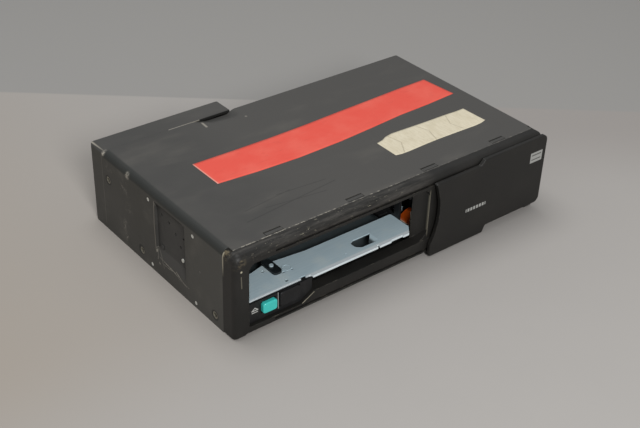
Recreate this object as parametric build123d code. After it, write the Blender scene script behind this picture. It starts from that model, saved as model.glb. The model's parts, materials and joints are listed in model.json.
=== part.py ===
from build123d import *
import os
from math import atan2, cos, degrees, hypot, pi, radians, sin, tan

# Car CD changer with a magazine bay on the left and the player on the right.
# Sizes are in millimetres. X runs to the right, Y to the back and Z up. Pieces are drawn
# from the front left bottom corner of the metal case, and save() moves them to the part's
# own origin, which is the middle of the footprint on the floor.

# Metal case
case_width = 256.0
case_height = 60.0
case_depth = 136.0
case_corner_r = 4.5
sheet = 1.0
flange_height = 9.0
cable_window_x0 = 20.0
cable_window_x1 = 80.0
cable_window_z0 = 8.0
cable_window_drop = 10.0  # from the top of the case
vent_count = 9
vent_first_x = 60.0
vent_pitch = 17.0
vent_width = 4.0
vent_y0 = 84.0
vent_y1 = 112.0
cover_lap = 4.5  # how far the cover's top reaches forward over the bezel

# Connector housing behind the left of the case
housing_width = 99.0
housing_depth = 18.0
housing_wall = 1.6
housing_chamfer = 4.0
data_socket_r = 7.0
data_socket_drop = 1.5  # below the middle of the room over the power socket
data_pins = 7  # on a circle, with one more in the middle
data_pin_r = 0.55
data_pin_circle_r = 3.6
power_socket_half = 5.5
power_socket_z0 = 12.0
power_socket_z1 = 27.0
power_slots = 4

# Front bezel, with the opening of the magazine bay
bezel_depth = 12.5
bezel_wall = 2.2
bezel_face = 3.0
bezel_edge_r = 4.0
bezel_foot_width = 8.0
bezel_foot_rise = 3.0
mouth_left = 10.0
mouth_side = 9.0  # from the bay to the right end of the mouth
mouth_sill = 13.0
mouth_drop = 8.0  # from the top of the case to the lintel
mouth_depth = 8.5
mouth_rim = 1.8
jamb_curve_r = 8.0
pocket_sill = 7.0  # floor of the button pocket, left of the sill
pocket_right = 49.5
pocket_ramp = 9.0
clip_first_x = 35.0
clip_pitch = 62.0
clip_count = 4
clip_width = 12.0
clip_depth = 2.4

# Door, in two leaves that telescope
door_proud = 3.5  # from the bezel's face to the door's face
door_thickness = 2.6
door_top_gap = 0.3
door_step_drop = 4.0  # from the top of the case to the lower part of the top edge
door_top_step = 40.5  # from the door's left edge
door_bottom_left = 0.8
door_bottom_right = 6.0
door_bottom_step = 49.0  # from the door's left edge
door_scoop_depth = 6.0
door_scoop_height = 48.0
door_scoop_z = 34.0
door_stop = 2.0  # from the case's left side to the closed door
leaf_thickness = 1.0
leaf_inset = 10.0
leaf_width = 53.0
runner_height = 1.2
runner_length = 66.0
runner_depth = 2.1
runner_inset = 10.0  # from the case's right side to the runners

# Buttons at the lower left of the front
button_z0 = 10.5
button_z1 = 21.0
eject_left = 20.2
eject_width = 10.4
eject_z0 = 12.0
eject_z1 = 19.4
reset_left = 33.6
reset_width = 15.0
button_proud = 0.2
reset_proud = -1.2
dish_r = 22.0
button_depth = 2.6
frame_setback = 2.3
frame_sheet = 1.5
stem_r = 1.2
switch_size = 6.0
switch_height = 3.6
switch_floor = 0.9
key_board_face = -1.6
eject_travel = 1.2
reset_travel = 0.8

# Mounting holes and cover screws in each side: (distance from the front, height)
mount_holes = [(8.7, 7.5), (92.0, 7.5), (131.0, 41.0)]
mount_bore_r = 1.65
bush_collar_r = 2.5
bush_flange_r = 4.0
bush_length = 5.0
upper_screw_places = [31.0, 81.0]
upper_screw_drop = 8.0  # from the top of the case
lower_screws = [(29.5, 3.6), (80.0, 3.6)]
screw_head_r = 1.3
screw_shank_r = 1.0
screw_length = 4.5

# Recessed panel in each side, with the arm that sets the mounting angle behind it
recess_y0 = 40.0
recess_y1 = 74.0
recess_z0 = 11.5
recess_drop = 6.5  # from the top of the case
recess_depth = 2.0
recess_ramp = 9.5
selector_y = 69.5
selector_z = 22.0
selector_reach = 24.6
selector_rest_angle = 171.6
selector_step = 20.0
selector_stops = 5
selector_gap = 0.3
selector_plate = 1.2
selector_half_width = 4.0
selector_pivot_r = 1.5
selector_rivet_r = 1.9
selector_ring_r = 3.4
selector_hook_r = 1.0
selector_wire = 0.7
stop_hole_r = 0.9
stud_r = 1.4
suspension_gap = 5.8

# Floating deck, with the magazine bay on its left
deck_floor = 12.0
deck_sheet = 1.0
deck_wall = 0.8
deck_headroom = 6.0  # from the deck's top to the top of the case
deck_front = 3.0
deck_rear = 134.0
player_window_y0 = 24.0
bay_window_y0 = 32.0
bay_window_y1 = 116.0
guide_wall = 1.0
guide_lip = 7.0
bay_width = 132.4
bay_floor = 22.0
bay_headroom = 5.5  # from the top disc to the ceiling
ceiling_step = 2.0  # from the bay's ceiling to the deck's top
plate_front = -8.0
plate_nose = -9.8  # the right part of the front edge
plate_nose_x = 59.6
plate_rear = 17.0
plate_back = 14.2
plate_leg_places = [51.4, 101.4]  # from the bay's left side
plate_leg_width = 12.0
plate_sheet = 1.0
divider_wall = 1.6
divider_notch_y = 6.0
divider_notch_z0 = 21.0
divider_notch_z1 = 42.0
float_travel = 1.5
latch_x = 43.5
latch_y = 11.6
latch_pin_r = 1.4
latch_half_width = 3.4
latch_front = 3.4
latch_end = 19.0
ejector_y = 108.0
ejector_travel = 18.0
ejector_half = 4.0
tongue_r = 1.1
damper_r = 5.5
damper_height = 8.5
damper_pin_r = 1.5
damper_gap = 0.3
damper_x0 = 24.0
damper_x1 = 200.0
damper_y0 = 12.0
damper_y1 = 126.8
spring_wire = 0.8
spring_turns = 5

# Discs and the player that rises to them
disc_r = 60.0
disc_edge_gap = 1.0
disc_side_gap = 2.4
disc_level = 25.5  # the lowest disc
player_bottom = 17.5
player_sheet = 1.5
player_gap = 1.6
turntable_r = 12.0
turntable_height = 2.5
spindle_motor_r = 12.0
spindle_motor_height = 8.0
clamp_sheet = 1.2
clamp_rise = 2.0  # from the clamp's pivot to its arm
clamp_pin_r = 1.25
puck_r = 14.0
puck_neck_r = 4.2
cone_low_r = 7.3
cone_high_r = 6.2
motor_shaft_r = 1.0
ear_sheet = 1.5

# Lift
lift_motor_inset = 12.4  # from the deck's right wall
lift_motor_y = 14.0
lift_motor_r = 10.0
lift_motor_height = 28.0
lift_screw_r = 2.5
lift_screw_y = 8.9
lift_module = 0.8
lift_teeth = 30
lift_pinion_teeth = 12
gear_width = 2.4
post_r = 2.0
post_side = 18.4  # from the divider
post_y = 4.5

# Pickup
rod_r = 1.25
rod_spacing = 24.0
rod_z = 20.5
sled_length = 18.0
sled_inner_radius = 23.0  # from the spindle to the lens at rest
sled_travel = 35.0
lens_travel = 0.4  # focus movement, up and down
lens_pocket = 2.6
lens_holder_r = 4.2
sled_screw_r = 1.5
sled_screw_side = 17.0
sled_screw_z = 18.5
sled_motor_angle = -45.0  # seen from the front, from the screw to the motor
sled_module = 0.5
sled_teeth = 20
sled_pinion_teeth = 10
small_motor_r = 7.0
small_motor_length = 20.0
sled_motor_offset = 6.4  # from the wall at the rods' rear ends to the motor

# Feed roller
roller_r = 3.2
roller_side = 5.4  # from the divider to the roller's axis
roller_z = 21.5
roller_shaft_r = 1.5
feed_ear_y = 121.0
roller_front_y = 14.4
feed_motor_angle = -50.0
feed_module = 0.6
feed_teeth = 10
feed_drive_teeth = 26

# Flat cable from the deck to the player
flex_sheet = 0.35
flex_width = 8.2
flex_loop = 5.2
flex_side = 4.4  # from the divider
flex_front = 2.4
flex_top = 28.6
flex_fold = 5.5  # how far the rear corner is folded away
connector_height = 4.6

# Circuit board under the bay: post centres, then chips and cans by place and size
board_x0 = 14.0
board_x1 = 138.0
board_y0 = 24.0
board_y1 = 119.0
board_post_inset = 5.0
board_post_r = 1.5
chip_places = [(48, 56, 20, 20, 1.8), (86, 52, 14, 14, 1.8), (112, 78, 18, 12, 1.8),
               (60, 92, 16, 8, 1.6), (92, 96, 10, 6, 1.6), (34, 84, 8, 12, 2.2)]
can_places = [(30, 46, 3.0), (38, 46, 3.0), (80, 78, 2.5), (104, 42, 2.5), (120, 104, 3.0)]
can_height = 3.2

# Labels on the cover, as (x, y) from above
label_thickness = 0.15
red_rear_left = (38, 89.0)
red_rear_bow = (110, 88.2)
red_rear_right = (236, 93.6)
red_corner = (241.4, 92.6)
red_right = (242.8, 89.6)
red_front_right = (244.2, 64.3)
red_front_bow = (110, 56.4)
red_front_left = (38, 60.3)
paper_corners = [(152, 21.5), (163, 21.2), (190, 21.8), (223, 21.0), (234, 22.6), (233.4, 43.6),
                 (200, 44.4), (168, 45.9), (160, 43.6), (152, 41.5)]

# Clearances
fit_gap = 0.05  # running fit, on the radius
seat_gap = 0.02  # pressed seat, on the radius
slide_gap = 0.3
gear_backlash = 0.16

# Worked out from the values above
door_face = -(bezel_depth + door_proud)
cable_window_z1 = case_height - cable_window_drop
data_socket_z = (power_socket_z1 + case_height) / 2 - data_socket_drop
mouth_lintel = case_height - mouth_drop
recess_z1 = case_height - recess_drop
upper_screws = [(y, case_height - upper_screw_drop) for y in upper_screw_places]
deck_left = sheet + recess_depth + suspension_gap
deck_right = case_width - deck_left
bay_left = deck_left + deck_wall + guide_wall
bay_right = bay_left + bay_width
divider_right = bay_right + divider_wall
mouth_right = bay_right + mouth_side
door_left = mouth_right
door_travel = door_left - door_stop
leaf_left = door_left + leaf_inset
runner_left = case_width - runner_inset - runner_length
disc_x = deck_right - deck_wall - disc_side_gap - disc_r
disc_y = deck_rear - deck_sheet - disc_edge_gap - disc_r
deck_top = case_height - deck_headroom
bay_ceiling = deck_top - ceiling_step
lift_travel = bay_ceiling - bay_headroom - disc_level
lift_motor_x = deck_right - deck_wall - lift_motor_inset
post_x = divider_right + post_side
player_top = player_bottom + player_sheet
turntable_top = disc_level - 0.5
deck_base_top = deck_floor + deck_sheet
damper_floor = sheet + 1.5
board_bottom = sheet + 4.0
board_thickness = 1.6
board_top = board_bottom + board_thickness
selector_x = sheet + recess_depth + selector_gap
selector_inner_x = selector_x + selector_plate
ejector_x = bay_left + 8.4
lens_y = disc_y - sled_inner_radius
sled_window_rear = disc_y - spindle_motor_r + 0.6
sled_wall_y = sled_window_rear + 0.4
sled_screw_x = disc_x + sled_screw_side
roller_x = divider_right + roller_side
pivot_x = deck_right - deck_wall - 3.5
pivot_z = disc_level + 2.5
clamp_low = pivot_z + clamp_rise
clamp_ears = [disc_y - 22.6, disc_y + 21.1]
rear_post_x = deck_right - deck_wall - 6.4
rear_post_y = deck_rear - deck_sheet - 4.2
shelf_bottom = deck_base_top + gear_width + 1.8
gear_bottom = deck_base_top + 0.9
flex_x = divider_right + flex_side
board_post_places = [(x, y) for x in (board_x0 + board_post_inset, board_x1 - board_post_inset)
                     for y in (board_y0 + board_post_inset, board_y1 - board_post_inset)]


def block(x0, x1, y0, y1, z0, z1):
    """A box between two corners."""
    centre = Pos((x0 + x1) / 2, (y0 + y1) / 2, (z0 + z1) / 2)
    return centre * Box(x1 - x0, y1 - y0, z1 - z0)


def bar_x(y, z, radius, x0, x1):
    """A round bar along X."""
    return Pos((x0 + x1) / 2, y, z) * Rot(0, 90, 0) * Cylinder(radius, x1 - x0)


def bar_y(x, z, radius, y0, y1):
    """A round bar along Y."""
    return Pos(x, (y0 + y1) / 2, z) * Rot(90, 0, 0) * Cylinder(radius, y1 - y0)


def bar_z(x, y, radius, z0, z1):
    """A round bar along Z."""
    return Pos(x, y, (z0 + z1) / 2) * Cylinder(radius, z1 - z0)


def outline(corners):
    """A closed face from (u, v, radius) corners, each rounded by its own radius."""
    face = make_face(Polyline(*[(u, v) for u, v, _ in corners], close=True))
    for u, v, radius in corners:
        if radius > 0:
            corner = face.vertices().sort_by_distance((u, v, 0))[0]
            face = fillet(corner, radius)
    return face


def slab_xz(corners, y0, y1):
    """A sheet drawn from the front, between two depths."""
    plane = Plane((0, y1, 0), x_dir=(1, 0, 0), z_dir=(0, -1, 0))
    return extrude(plane * outline(corners), y1 - y0)


def slab_yz(corners, x0, x1):
    """A sheet drawn from the side, between two widths."""
    plane = Plane((x0, 0, 0), x_dir=(0, 1, 0), z_dir=(1, 0, 0))
    return extrude(plane * outline(corners), x1 - x0)


def slab_xy(corners, z0, z1):
    """A sheet drawn from above, between two heights."""
    return extrude(Plane((0, 0, z0)) * outline(corners), z1 - z0)


def rectangle(u0, u1, v0, v1, radius=0.0):
    """Corners of a rectangle with one radius all round."""
    return [(u0, v0, radius), (u1, v0, radius), (u1, v1, radius), (u0, v1, radius)]


def right_hand(shape):
    """The same piece on the right-hand side of the case."""
    return mirror(shape, about=Plane.YZ.offset(case_width / 2))


def both_sides(shape):
    """A piece on the left and its mirror image on the right, as separate solids."""
    return group([shape, right_hand(shape)])


def group(shapes):
    """Separate solids that share one node."""
    return Compound([solid for shape in shapes for solid in shape.solids()])


def gear(teeth, module, width):
    """A spur gear about Z standing on z = 0, with one tooth on +X."""
    pitch_r = teeth * module / 2
    tip_r = pitch_r + 0.9 * module
    root_r = pitch_r - 1.15 * module
    lean = tan(radians(20)) * module
    half = (pi * module / 2 - gear_backlash) / 2
    points = []
    for tooth in range(teeth):
        middle = 2 * pi * tooth / teeth
        for side, radius, thick in ((-1, root_r, half + 0.7 * lean), (-1, tip_r, half - 0.9 * lean),
                                    (1, tip_r, half - 0.9 * lean), (1, root_r, half + 0.7 * lean)):
            angle = middle + side * thick / pitch_r
            points.append((radius * cos(angle), radius * sin(angle)))
    return extrude(make_face(Polyline(*points, close=True)), width)


def coil(radius, wire, length, turns):
    """An open coil about Z from z = 0 to the length, wire included."""
    rise = length - wire
    path = Pos(0, 0, wire / 2) * Helix(rise / turns, rise, radius)
    section = Plane(origin=path @ 0, z_dir=path % 0) * Circle(wire / 2)
    return sweep(section, path)


def save(name, shape):
    """Writes a node in the part's own frame."""
    middle_y = (door_face + case_depth + housing_depth) / 2
    moved = Pos(-case_width / 2, -middle_y, 0) * shape
    moved.label = name
    export_step(moved, f"parts/{name}.step")


def clip_positions():
    return [clip_first_x + clip_pitch * n for n in range(clip_count)]


# Case

def make_wrap_cover():
    """Top and both sides in one bent sheet."""
    outer = slab_xz([(0, 0, 0), (case_width, 0, 0), (case_width, case_height, case_corner_r),
                     (0, case_height, case_corner_r)], 0, case_depth)
    inner_r = case_corner_r - sheet
    inner = slab_xz([(sheet, -1, 0), (case_width - sheet, -1, 0),
                     (case_width - sheet, case_height - sheet, inner_r),
                     (sheet, case_height - sheet, inner_r)], -1, case_depth + 1)
    cover = outer - inner
    cover += block(case_corner_r, case_width - case_corner_r, -cover_lap, 0,
                   case_height - sheet, case_height)
    for x in clip_positions():
        half = clip_width / 2 + slide_gap
        cover -= block(x - half, x + half, -cover_lap + 0.9, clip_depth - cover_lap + 2.7,
                       case_height - 2 * sheet, case_height + sheet)
    left = make_recess_backing()
    cover += left + right_hand(left)
    cuts = make_side_cuts()
    return cover - cuts - right_hand(cuts)


def recess_profile(grow, front, back):
    """The recess from the front: shallow ramp at the bottom, sharp edge at the top."""
    return slab_xz([(-sheet + grow, recess_z0 - grow, 0), (grow, recess_z0 - grow, 0),
                    (recess_depth + grow, recess_z0 + recess_ramp - grow, 0),
                    (recess_depth + grow, recess_z1 + grow, 0), (-sheet + grow, recess_z1 + grow, 0)],
                   front - grow, back + grow)


def make_recess_backing():
    return recess_profile(sheet, recess_y0, recess_y1)


def make_side_cuts():
    """Everything cut into the left side of the cover."""
    cuts = recess_profile(0, recess_y0, recess_y1)
    for y, z in mount_holes:
        cuts += bar_x(y, z, bush_collar_r + seat_gap, -sheet, 2 * sheet)
    for y, z in upper_screws + lower_screws:
        cuts += bar_x(y, z, screw_head_r + seat_gap, -sheet, 0.7 * sheet)
        cuts += bar_x(y, z, screw_shank_r + fit_gap, 0, 2 * sheet)
    inner_x = sheet + recess_depth + sheet
    for stop in range(selector_stops):
        y, z = selector_stop(stop)
        radius = screw_shank_r + fit_gap if stop == 0 else stop_hole_r
        cuts += bar_x(y, z, radius, 0, inner_x)
    cuts += bar_x(selector_y, selector_z, selector_pivot_r + seat_gap, 0, inner_x)
    cuts += bar_x(selector_y, selector_z, selector_rivet_r + seat_gap, 0, recess_depth)
    y0, z1 = recess_y0 + 1.0, recess_z1 - 1.5
    window = block(0, inner_x, y0, y0 + 4.0, z1 - 11.0, z1)
    tongue = block(0, inner_x, y0 + 1.0, y0 + 5.0, z1 - 9.8, z1 - 1.2)
    return cuts + (window - tongue)


def selector_stop(stop):
    """Centre of one stop hole, as (y, z)."""
    angle = radians(selector_rest_angle - stop * selector_step)
    return selector_y + selector_reach * cos(angle), selector_z + selector_reach * sin(angle)


def make_rear_panel():
    """Rear wall on the floor's edge, with the window for the leads."""
    inner_r = case_corner_r - sheet
    rear = case_depth - sheet
    panel = slab_xz([(sheet, sheet, 0), (case_width - sheet, sheet, 0),
                     (case_width - sheet, case_height - sheet, inner_r),
                     (sheet, case_height - sheet, inner_r)], rear, case_depth)
    return panel - block(cable_window_x0, cable_window_x1, rear - 1, case_depth + 1,
                         cable_window_z0, cable_window_z1)


def make_bottom_tray():
    """Floor and side flanges."""
    rear = case_depth - sheet
    tray = block(sheet, case_width - sheet, 0, case_depth, 0, sheet)
    for x0 in (sheet, case_width - 2 * sheet):
        tray += block(x0, x0 + sheet, 2.0, rear, sheet, flange_height)
        for y, z in upper_screws:
            tray += block(x0, x0 + sheet, y - 5, y + 5, sheet, case_height - case_corner_r - 0.2)
    cuts = group([bar_x(y, z, bush_flange_r + slide_gap, 0, 3 * sheet) for y, z in mount_holes]
                 + [bar_x(y, z, screw_shank_r + seat_gap, 0, 3 * sheet)
                    for y, z in upper_screws + lower_screws])
    tray = tray - cuts - right_hand(cuts)
    for n in range(vent_count):
        x = vent_first_x + vent_pitch * n
        tray -= slab_xy(rectangle(x, x + vent_width, vent_y0, vent_y1, vent_width / 2 - 0.1), -1, 2 * sheet)
    return tray


def housing_block(inset):
    """The housing's outer form, or the space inside it, as one rounded block."""
    rear = case_depth + housing_depth - inset
    front = case_depth - (sheet if inset else 0)
    right = housing_width - inset
    low, high = inset, case_height - inset
    slope = housing_chamfer
    across = slab_xz([(inset, low, 0), (right, low, 0), (right, high, 0),
                      (inset, high, case_corner_r - inset)], front, rear)
    along = slab_yz([(front, low, 0), (rear - slope, low, 0), (rear, low + slope, 0),
                     (rear, high, 3.0 - inset), (front, high, 0)], inset, right)
    above = slab_xy([(inset, front, 0), (right, front, 0), (right, rear, 3.2 - inset),
                     (inset, rear, 3.2 - inset)], low, high)
    return across & along & above


def make_rear_housing():
    """Box behind the left of the case that holds the sockets."""
    shell = housing_block(0) - housing_block(housing_wall)
    y = socket_y()
    shell -= bar_x(y, data_socket_z, data_socket_r + seat_gap, housing_width - 3, housing_width + 1)
    half = power_socket_half + seat_gap
    return shell - block(housing_width - 3, housing_width + 1, y - half, y + half,
                         power_socket_z0 - seat_gap, power_socket_z1 + seat_gap)


def socket_y():
    return case_depth + housing_depth / 2


def make_data_socket():
    """Round socket with eight pin holes and a shield ring."""
    y, z = socket_y(), data_socket_z
    face = housing_width + 1.5
    body = bar_x(y, z, data_socket_r, housing_width - 12, face)
    body += bar_x(y, z, data_socket_r + 1.2, housing_width, housing_width + 1.0)
    ring = bar_x(y, z, data_socket_r - 1.0, face - 1.2, face + 1)
    body -= ring - bar_x(y, z, data_socket_r - 1.9, face - 1.3, face + 1)
    for n in range(data_pins):
        angle = radians(40 * (n - (data_pins - 1) / 2))
        along, up = data_pin_circle_r * sin(angle), data_pin_circle_r * cos(angle)
        body -= bar_x(y + along, z + up, data_pin_r, face - 5, face + 1)
    return body - bar_x(y, z, data_pin_r, face - 5, face + 1)


def make_power_socket():
    """Rectangular socket with four contact slots."""
    y = socket_y()
    face = housing_width + 1.0
    half, rim = power_socket_half, power_socket_half + 1.3
    body = block(housing_width - 13, face, y - half, y + half, power_socket_z0, power_socket_z1)
    body += block(housing_width, face, y - rim, y + rim, power_socket_z0 - 1.2, power_socket_z1 + 1.2)
    for n in range(power_slots):
        z = power_socket_z0 + 2.6 + 3.3 * n
        body -= block(face - 8, face + 1, y - 1.2, y + 1.2, z - 0.6, z + 0.6)
    return body - block(face - 8, face + 1, y + 3.2, y + 4.2, 17, 22)


def make_mount_bushes():
    """Press nuts behind the mounting holes of both sides."""
    bushes = []
    for y, z in mount_holes:
        bush = bar_x(y, z, bush_collar_r, 0.15, sheet)
        bush += bar_x(y, z, bush_flange_r, sheet, 2 * sheet)
        bush += bar_x(y, z, bush_collar_r + 0.6, 2 * sheet, bush_length)
        bushes.append(bush - bar_x(y, z, mount_bore_r, 0, bush_length + 1))
    return group([group(bushes), right_hand(group(bushes))])


def make_cover_screws():
    """Small screws in the cover's sides, with the one that locks each mounting-angle arm."""
    screws = []
    for y, z in upper_screws + lower_screws:
        screw = bar_x(y, z, screw_head_r, 0.05, 0.7 * sheet)
        screw += bar_x(y, z, screw_shank_r, 0.7 * sheet, screw_length)
        screws.append(screw - block(-1, 0.4, y - 0.9, y + 0.9, z - 0.2, z + 0.2))
    y, z = selector_stop(0)
    screw = bar_x(y, z, screw_head_r, recess_depth - 0.7, recess_depth)
    screws.append(screw + bar_x(y, z, screw_shank_r, recess_depth, recess_depth + sheet))
    return group([group(screws), right_hand(group(screws))])


# Front

def mouth_outline(grow):
    """The opening in the bezel: magazine mouth, and the pocket for the buttons."""
    return [(mouth_left - grow, pocket_sill - grow, 1.5),
            (pocket_right, pocket_sill - grow, 2.0),
            (pocket_right + pocket_ramp, mouth_sill - grow, 2.0),
            (mouth_right + grow, mouth_sill - grow, 9.0 + grow),
            (mouth_right + grow, mouth_lintel + grow, 7.0 + grow),
            (mouth_left - grow, mouth_lintel + grow, 5.0 + grow)]


def make_front_bezel():
    """Moulded front with the magazine mouth, the door's grooves and the clip tongues."""
    face = -bezel_depth
    body = slab_xz([(0, 0, 1.5), (case_width, 0, 1.5), (case_width, case_height, case_corner_r + 0.6),
                    (0, case_height, case_corner_r + 0.6)], face, 0)
    body = fillet(body.faces().sort_by(Axis.Y)[0].edges(), bezel_edge_r)
    back = face + bezel_face
    body -= block(bezel_wall, case_width - bezel_wall, back, 1, bezel_foot_rise + bezel_wall,
                  case_height - bezel_wall - sheet)
    body -= block(bezel_foot_width, case_width - bezel_foot_width, face - 1, 1, -1, bezel_foot_rise)
    rim = slab_xz(mouth_outline(mouth_rim), back, face + mouth_depth)
    jamb = block(mouth_right - jamb_curve_r, mouth_right, face, face + mouth_depth,
                 mouth_sill, mouth_lintel)
    jamb -= bar_z(mouth_right - jamb_curve_r, face, jamb_curve_r, 0, case_height)
    body += rim
    body -= slab_xz(mouth_outline(0), face - 1, 1)
    body += jamb & slab_xz(mouth_outline(0.2), face, face + mouth_depth)
    track_z0 = mouth_sill + 0.8 - slide_gap
    track_z1 = mouth_lintel - 0.8 + slide_gap
    body -= block(mouth_right - jamb_curve_r - 1, leaf_left + leaf_width + 1.5, face - 1,
                  face + leaf_thickness - 0.3, track_z0, track_z1)
    for z in runner_heights():
        body -= block(runner_left - door_travel - 1, runner_left + runner_length + 1, face - 1,
                      face + runner_depth - 0.6, z - slide_gap, z + runner_height + slide_gap)
    top = case_height - sheet
    body -= block(-1, case_width + 1, -cover_lap - 0.15, 1, top, case_height + 1)
    for x in clip_positions():
        front = -cover_lap + 1.5
        body += block(x - clip_width / 2, x + clip_width / 2, front, front + clip_depth,
                      top - bezel_wall, case_height)
    return body


def runner_heights():
    """Bottom faces of the door's lower and upper runners."""
    return [bezel_foot_rise + 1.6, mouth_lintel + 2.2]


def make_door_leaf():
    """Outer leaf of the sliding door, at rest to the right."""
    step_low, step_high = door_left + door_bottom_step, door_left + door_top_step
    top, top_left = case_height - door_top_gap, case_height - door_step_drop
    corners = [(door_left, door_bottom_left, 1.5), (step_low, door_bottom_left, 1.0),
               (step_low + 2.5, door_bottom_right, 1.0), (case_width, door_bottom_right, case_corner_r),
               (case_width, top, case_corner_r), (step_high + 3.5, top, 0.8),
               (step_high, top_left, 2.0), (door_left, top_left, 3.0)]
    leaf = slab_xz(corners, door_face, door_face + door_thickness)
    leaf = fillet(leaf.faces().sort_by(Axis.Y)[0].edges(), 0.7)
    half = door_scoop_height / 2
    scoop_r = (half ** 2 + door_scoop_depth ** 2) / (2 * door_scoop_depth)
    centre_x = door_left + door_scoop_depth - scoop_r
    leaf -= bar_y(centre_x, door_scoop_z, scoop_r, door_face - 1, door_face + door_thickness + 1)
    back = door_face + door_thickness
    for z in runner_heights():
        leaf += block(runner_left, runner_left + runner_length, back, back + runner_depth,
                      z, z + runner_height)
    return leaf


def make_door_inner_leaf():
    """Inner leaf, hidden behind the outer one while the door is open."""
    front = -bezel_depth - 0.6
    corners = rectangle(leaf_left, leaf_left + leaf_width, mouth_sill + 0.8, mouth_lintel - 0.8, 3.0)
    leaf = slab_xz(corners, front, front + leaf_thickness)
    return leaf


def make_button_frame():
    """Black insert that carries the two buttons, in the pocket of the bezel."""
    front = -bezel_depth + frame_setback
    back = front + frame_sheet
    top = button_z1 + 0.5
    corners = [(mouth_left + slide_gap, pocket_sill + slide_gap, 1.3),
               (pocket_right - 0.2, pocket_sill + slide_gap, 1.8),
               (pocket_right + pocket_ramp - 0.2, mouth_sill + slide_gap, 0.8),
               (pocket_right + pocket_ramp - 0.2, top, 1.0), (mouth_left + slide_gap, top, 1.0)]
    frame = slab_xz(corners, front, back)
    for left, width, low, high in (eject_place(), reset_place()):
        frame -= block(left - slide_gap, left + width + slide_gap, front - 1, back + 1,
                       low - slide_gap, high + slide_gap)
    for x in key_posts():
        frame += bar_y(x, 16.0, 1.8, back, key_board_face)
    return frame


def eject_place():
    """Left edge, width, bottom and top of the eject button."""
    return eject_left, eject_width, eject_z0, eject_z1


def reset_place():
    """Left edge, width, bottom and top of the black button."""
    return reset_left, reset_width, button_z0, button_z1


def key_posts():
    return [mouth_left + 4.5, pocket_right + 3.5]


def make_key_board():
    """Small upright circuit board behind the buttons."""
    y = key_board_face
    low = bezel_foot_rise + bezel_wall + slide_gap
    board = block(mouth_left + 2, pocket_right + 6, y, y + board_thickness, low, 18.8)
    return board


def key_switches():
    """Centres of the two switches, as (x, z)."""
    z = (button_z0 + button_z1) / 2 - 1.5
    return [(eject_left + eject_width / 2, z), (reset_left + reset_width / 2, z)]


def make_key_switches():
    """Tact switches with a well for each button's stem."""
    y = key_board_face
    switches = []
    for x, z in key_switches():
        half = switch_size / 2
        body = block(x - half, x + half, y - switch_height, y, z - half, z + half)
        switches.append(body - bar_y(x, z, stem_r + 0.2, y - switch_height - 1, y - switch_floor))
    return group(switches)


def make_button(place, proud, travel, key):
    """A button cap with its stem, which stops short of the switch by its travel."""
    left, width, low, high = place
    front = -bezel_depth - proud
    cap = block(left, left + width, front, front + button_depth + proud, low, high)
    cap = fillet(cap.edges().filter_by(Axis.Y), 1.8)
    cap = fillet(cap.faces().sort_by(Axis.Y)[0].edges(), 0.8)
    x, z = key
    tip = key_board_face - switch_floor - travel - slide_gap
    return cap + bar_y(x, z, stem_r, front + button_depth + proud, tip)


def make_eject_button():
    return make_button(eject_place(), button_proud, eject_travel, key_switches()[0])


def make_reset_button():
    """Black button with a dished face, set back in the frame."""
    cap = make_button(reset_place(), reset_proud, reset_travel, key_switches()[1])
    x = reset_left + reset_width / 2
    z = (button_z0 + button_z1) / 2
    front = -bezel_depth - reset_proud
    return cap - Pos(x, front - dish_r + 0.9, z) * Sphere(dish_r)


# Labels

def make_red_label():
    """Bare coloured strip, gently bowed, stuck on the cover."""
    upper = ThreePointArc(red_rear_left, red_rear_bow, red_rear_right)
    corner = ThreePointArc(red_rear_right, red_corner, red_right)
    right = Line(red_right, red_front_right)
    lower = ThreePointArc(red_front_right, red_front_bow, red_front_left)
    left = Line(red_front_left, red_rear_left)
    face = make_face(Curve() + [upper, corner, right, lower, left])
    return extrude(Plane((0, 0, case_height)) * face, label_thickness)


def make_paper_label():
    """Plain strip of paper tape with torn edges."""
    face = make_face(Polyline(*paper_corners, close=True))
    return extrude(Plane((0, 0, case_height)) * face, label_thickness)


# Mounting-angle arms

def make_selector_arm():
    """Arm on the left that carries the outer end of the suspension spring."""
    y1, z1 = selector_stop(0)
    x0, x1 = selector_x, selector_inner_x
    angle = degrees(atan2(z1 - selector_z, y1 - selector_y))
    bar = Rot(angle, 0, 0) * Box(selector_plate, selector_reach, 2 * selector_half_width)
    arm = Pos((x0 + x1) / 2, (selector_y + y1) / 2, (selector_z + z1) / 2) * bar
    arm += bar_x(selector_y, selector_z, selector_half_width, x0, x1)
    arm += bar_x(y1, z1, selector_half_width, x0, x1)
    arm -= bar_x(selector_y, selector_z, selector_pivot_r + fit_gap, x0 - 1, x1 + 1)
    return arm + bar_x(y1, z1, stud_r - 0.2, x1, x1 + 3.6)


def make_selector_pivots():
    """Rivets that the arms turn on."""
    rivet = bar_x(selector_y, selector_z, selector_pivot_r, recess_depth, selector_inner_x + 0.2)
    rivet += bar_x(selector_y, selector_z, selector_rivet_r, recess_depth - 0.5, recess_depth)
    return both_sides(rivet)


def selector_spring_x():
    return selector_inner_x + 2.0


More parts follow.
